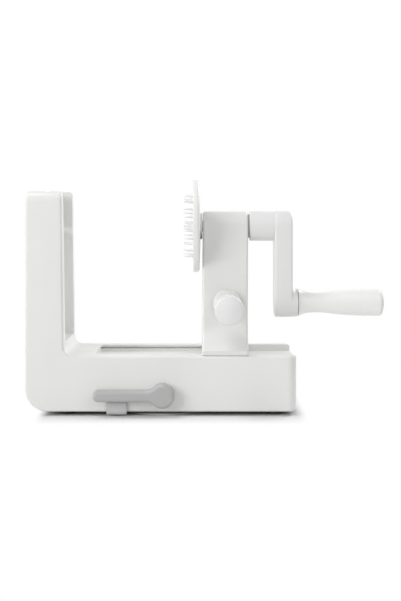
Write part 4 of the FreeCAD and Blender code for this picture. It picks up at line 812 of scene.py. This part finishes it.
class SPIRALIZER_OT_suction_pad(bpy.types.Operator):
    """Flexible disc under the base and the tab that breaks its seal"""

    bl_idname = "spiralizer.suction_pad"
    bl_label = "Make the suction pad"

    def execute(self, context):
        settings = context.scene.spiralizer
        sizes = settings.pad
        rubber = rubber_material("grey_rubber", settings.colours.grey_rubber, 0.52)
        disc = make_pad_disc(sizes)
        disc.data.materials.append(rubber)
        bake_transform(disc)
        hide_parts("suction_pad")
        finish_piece(make_pull_tab(sizes), "base", "grey_rubber", rubber, "suction_pad")
        return {"FINISHED"}


def make_pad_disc(sizes):
    """Disc turned from the middle of its hollow underside, round the lip, to the boss's top."""
    lip = 0.9 * MM
    line = softened([
        (0.4 * MM, sizes.cup_height), (sizes.cup_radius - 6 * MM, sizes.cup_height),
        (sizes.cup_radius, 0.0), (sizes.radius - 0.6 * MM, 0.0), (sizes.radius, 0.0),
        (sizes.radius, lip), (sizes.radius - 1.2 * MM, lip + 0.3 * MM),
        (sizes.radius - 9 * MM, sizes.web), (sizes.boss_radius + 4 * MM, sizes.web),
        (sizes.boss_radius + 1.2 * MM, sizes.web),
        (sizes.boss_radius, sizes.boss_height - 0.6 * MM),
        (sizes.boss_radius, sizes.boss_height), (sizes.boss_radius - 1.5 * MM, sizes.boss_height),
        (0.4 * MM, sizes.boss_height)], 3)
    return put_together("flexible_pad", [skin_over(lathe(line, (0.0, 0.0, 0.0), 180))])


def make_pull_tab(sizes):
    """Tab that leaves the disc under the near edge and bends up outside the wall."""
    wall_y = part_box("main_body")[0].y
    face_y = wall_y - 0.6 * MM - sizes.tab_thick / 2
    low_z = sizes.tab_lift + sizes.tab_thick / 2
    line = softened([(-18 * MM, low_z), (-40 * MM, low_z), (wall_y + 4 * MM, low_z),
                     (face_y, low_z), (face_y, low_z + 5 * MM),
                     (face_y, sizes.tab_top - 2 * MM), (face_y, sizes.tab_top)], 4)
    travelled = np.concatenate([[0.0], np.cumsum(np.linalg.norm(np.diff(line, axis=0), axis=1))])
    left = travelled[-1] - travelled
    end = np.sqrt(np.clip(left / (1.6 * MM), 0.0004, 1.0))
    swell = np.sin(np.clip(left / (15 * MM), 0, 1) * np.pi)
    half_width = sizes.tab_width / 2 * (0.955 + 0.045 * swell)
    half_width = half_width - 1.2 * MM * (1 - end)
    half_thick = sizes.tab_thick / 2 * (0.25 + 0.75 * end)
    rings = strap(line, half_width, half_thick, sizes.tab_rim, -sizes.tab_middle, 96)
    return put_together("pull_tab", [skin_over(rings)])


class SPIRALIZER_OT_feet(bpy.types.Operator):
    """Four rubber feet"""

    bl_idname = "spiralizer.feet"
    bl_label = "Make the feet"

    def execute(self, context):
        settings = context.scene.spiralizer
        low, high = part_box("rubber_feet")
        radius = settings.small.foot_radius
        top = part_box("bottom_cover")[0].z
        line = softened([
            (0.3 * MM, 0.35 * MM), (3.6 * MM, 0.35 * MM), (4.2 * MM, 0.0), (radius - 1 * MM, 0.0),
            (radius, 0.2 * MM), (radius, top / 2), (radius - 0.5 * MM, top),
            (radius / 2, top), (radius / 2, high.z - 0.3 * MM), (radius / 2 - 0.4 * MM, high.z),
            (0.3 * MM, high.z)], 3)
        places = [(x, y, 0.0) for x in (low.x + radius, high.x - radius)
                  for y in (low.y + radius, high.y - radius)]
        feet = put_together("foot_buttons", [skin_over(lathe(line, place, 64)) for place in places])
        rubber = rubber_material("foot_rubber", settings.colours.foot_rubber, 0.60)
        finish_piece(feet, "base", "foot_rubber", rubber, "rubber_feet")
        return {"FINISHED"}


class SPIRALIZER_OT_spring(bpy.types.Operator):
    """Spring that pushes the stem down and is pressed together when the lever lifts it"""

    bl_idname = "spiralizer.spring"
    bl_label = "Make the spring"

    def execute(self, context):
        sizes = context.scene.spiralizer.small
        low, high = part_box("stem_spring")
        first, last = low.z + sizes.wire, high.z - sizes.wire
        spring = put_together("return_spring", [skin_over(coil(
            (high.x - low.x) / 2 - sizes.wire, sizes.wire, first, last, sizes.turns))])
        shaded_by_angle(spring)
        spring.data.materials.append(bpy.data.materials["axle_steel"])
        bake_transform(spring)
        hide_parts("stem_spring")
        return {"FINISHED"}


def coil(radius, wire, first, last, turns, around=14):
    """Rings of a wire along a helix: its centre is at (radius cos t, radius sin t) and climbs from
    first to last as t runs through the turns. Each ring stands across the helix's direction."""
    t = np.linspace(0, 2 * np.pi * turns, 44 * turns + 1)[:, None, None]
    still = np.zeros_like(t)
    climb = (last - first) / t[-1]
    centre = np.concatenate([radius * np.cos(t), radius * np.sin(t), first + climb * t], -1)
    outward = np.concatenate([np.cos(t), np.sin(t), still], -1)
    along = np.concatenate([-radius * np.sin(t), radius * np.cos(t), still + climb], -1)
    along /= np.linalg.norm(along, axis=-1, keepdims=True)
    upward = np.cross(along, outward)
    turn = (np.arange(around) * 2 * np.pi / around)[None, :, None]
    return centre + wire * (np.cos(turn) * outward + np.sin(turn) * upward)


class SPIRALIZER_OT_handles(bpy.types.Operator):
    """Turned grip of the crank and fixed handle of the carriage, each with a crowned cap"""

    bl_idname = "spiralizer.handles"
    bl_label = "Make the handles"

    def execute(self, context):
        settings = context.scene.spiralizer
        sizes = settings.handles
        # The cap material is darker than the handle's by painted shade.
        white, pale = bpy.data.materials["white_handle"], bpy.data.materials["handle_cap"]
        for name, cap_name, node, cap_node, body, axis, toward, flat in HANDLES:
            low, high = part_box(node)
            span = abs(high[axis] - low[axis])
            grip_line, cap_line = handle_profile(sizes, span)
            grip = about_axis(grip_line, low, high, axis, toward)
            if flat:
                grip[..., 2] = np.minimum(grip[..., 2], (low.z + high.z) / 2 + sizes.root_flat)
            piece = put_together(name, [skin_over(grip, looped=True)])
            shaded_by_angle(piece)
            finish_piece(piece, body, "white_handle", white, node)
            cap = put_together(cap_name, [skin_over(about_axis(cap_line, low, high, axis, toward))])
            shaded_by_angle(cap)
            finish_piece(cap, body, "handle_cap", pale, cap_node)
        return {"FINISHED"}


def handle_profile(sizes, span):
    """Two lines of radius and distance from the root: the handle's wall as a loop, and its cap from
    the middle of its inner face to the middle of its crown.

    The crown falls from the end by its radius squared over twice the dome. Its corner is a quarter
    turn of the corner's size, from there to the side.
    """
    flank = np.array([(radius, along) for along, radius in HANDLE_FLANK])
    side = flank[-1, 0]
    inner = side - sizes.corner
    crown_radius = np.linspace(0.0004, inner, 14)
    crown = np.stack([crown_radius, span - crown_radius ** 2 / (2 * sizes.dome)], -1)
    bend = np.linspace(0.0, np.pi / 2, 14)[1:]
    turned = np.stack([inner + sizes.corner * np.sin(bend),
                       crown[-1, 1] - 1.15 * sizes.corner * (1 - np.cos(bend))], -1)
    seam = span - sizes.seam
    before = turned[turned[:, 1] < seam - 0.0002][::-1]
    beyond = turned[turned[:, 1] > seam + 0.0002][::-1]
    lip = np.interp(seam, turned[::-1, 1], turned[::-1, 0])
    wall = np.concatenate([
        [[sizes.bore, 0.0003], [side - 0.0002, 0.0003]], flank, before,
        [[lip, seam - 0.0002], [lip - sizes.seam_depth, seam], [0.0076, seam],
         [0.0076, span - 0.0140], [sizes.bore, span - 0.0140]]])
    cap = np.concatenate([
        [[0.0004, seam], [lip - sizes.seam_depth, seam], [lip, seam + 0.0002]], beyond,
        crown[::-1]])
    return finely(wall, 0.0012), finely(cap, 0.0008)


def finely(line, step):
    """The same line with points no further apart than the step."""
    parts = [line[:1]]
    for start, end in zip(line[:-1], line[1:]):
        count = max(1, math.ceil(np.linalg.norm(end - start) / step))
        parts.append(start + (end - start) * np.linspace(0, 1, count + 1)[1:, None])
    return np.concatenate(parts)


def about_axis(line, low, high, axis, toward, around=96):
    """Rings of a line of radius and distance, turned about the middle of a box along its axis."""
    return stood_on(lathe(line, (0.0, 0.0, 0.0), around), low, high, axis, toward)


def stood_on(rings, low, high, axis, toward):
    """Rings whose third axis becomes the given axis, from one end of a box through its middle."""
    across = [other for other in range(3) if other != axis]
    placed = np.empty_like(rings)
    placed[..., axis] = (low if toward > 0 else high)[axis] + toward * rings[..., 2]
    for other, column in zip(across, (0, 1)):
        placed[..., other] = (low[other] + high[other]) / 2 + rings[..., column]
    return placed


class SPIRALIZER_OT_screws(bpy.types.Operator):
    """Threaded screws with cross recesses: cover, runner, blade plate and food holder"""

    bl_idname = "spiralizer.screws"
    bl_label = "Make the screws"

    def execute(self, context):
        settings = context.scene.spiralizer
        for name, node, body, axis, toward, countersunk in SCREWS:
            skins = [skin_over(standing_screw(settings.small, low, high, axis, toward, countersunk))
                     for low, high in loose_solids(node, axis)]
            screws = put_together(name, skins)
            shaded_by_angle(screws)
            finish_piece(screws, body, "screw_steel", bpy.data.materials["screw_steel"], node)
        return {"FINISHED"}


def standing_screw(sizes, low, high, axis, toward, countersunk):
    """Rings of one screw in its place, as wide and as long as its solid."""
    head_radius = (high - low)[(axis + 1) % 3] / 2
    small = head_radius < 4 * MM
    shank_radius = sizes.screw_radius if small else 2.4 * MM
    head_height = sizes.head_height if countersunk else (1.3 if small else 1.5) * MM
    rings = screw_rings(sizes, high[axis] - low[axis], shank_radius, head_radius, head_height,
                        countersunk)
    return stood_on(rings, low, high, axis, toward)


class SPIRALIZER_PT_panel(bpy.types.Panel):
    """Steps and settings in the sidebar of the 3D view"""

    bl_idname = "SPIRALIZER_PT_panel"
    bl_label = "Spiralizer"
    bl_space_type = "VIEW_3D"
    bl_region_type = "UI"
    bl_category = "Spiralizer"

    def draw(self, context):
        settings = context.scene.spiralizer
        for step in STEPS:
            self.layout.operator(step.bl_idname)
        for title, group in (("Colours", settings.colours), ("Finish", settings.finish),
                             ("Suction pad", settings.pad), ("Handles", settings.handles),
                             ("Small parts", settings.small), ("Studio", settings.studio)):
            box = self.layout.box()
            box.label(text=title)
            for name in group.bl_rna.properties.keys():
                if name not in {"rna_type", "name"}:
                    box.prop(group, name)


STEPS = (SPIRALIZER_OT_studio, SPIRALIZER_OT_mouldings, SPIRALIZER_OT_steel,
         SPIRALIZER_OT_suction_pad, SPIRALIZER_OT_feet, SPIRALIZER_OT_spring,
         SPIRALIZER_OT_handles, SPIRALIZER_OT_screws)
CLASSES = (SPIRALIZER_PG_colours, SPIRALIZER_PG_finish, SPIRALIZER_PG_pad,
           SPIRALIZER_PG_handles, SPIRALIZER_PG_small_parts, SPIRALIZER_PG_studio,
           SPIRALIZER_PG_settings, *STEPS, SPIRALIZER_PT_panel)


def register():
    for each in CLASSES:
        bpy.utils.register_class(each)
    bpy.types.Scene.spiralizer = bpy.props.PointerProperty(
        type=SPIRALIZER_PG_settings, name="Spiralizer", description="Settings of the spiralizer")


def unregister():
    del bpy.types.Scene.spiralizer
    for each in reversed(CLASSES):
        bpy.utils.unregister_class(each)


def main():
    register()
    for step in STEPS:
        family, name = step.bl_idname.split(".")
        getattr(getattr(bpy.ops, family), name)()


if __name__ == "__main__":
    main()
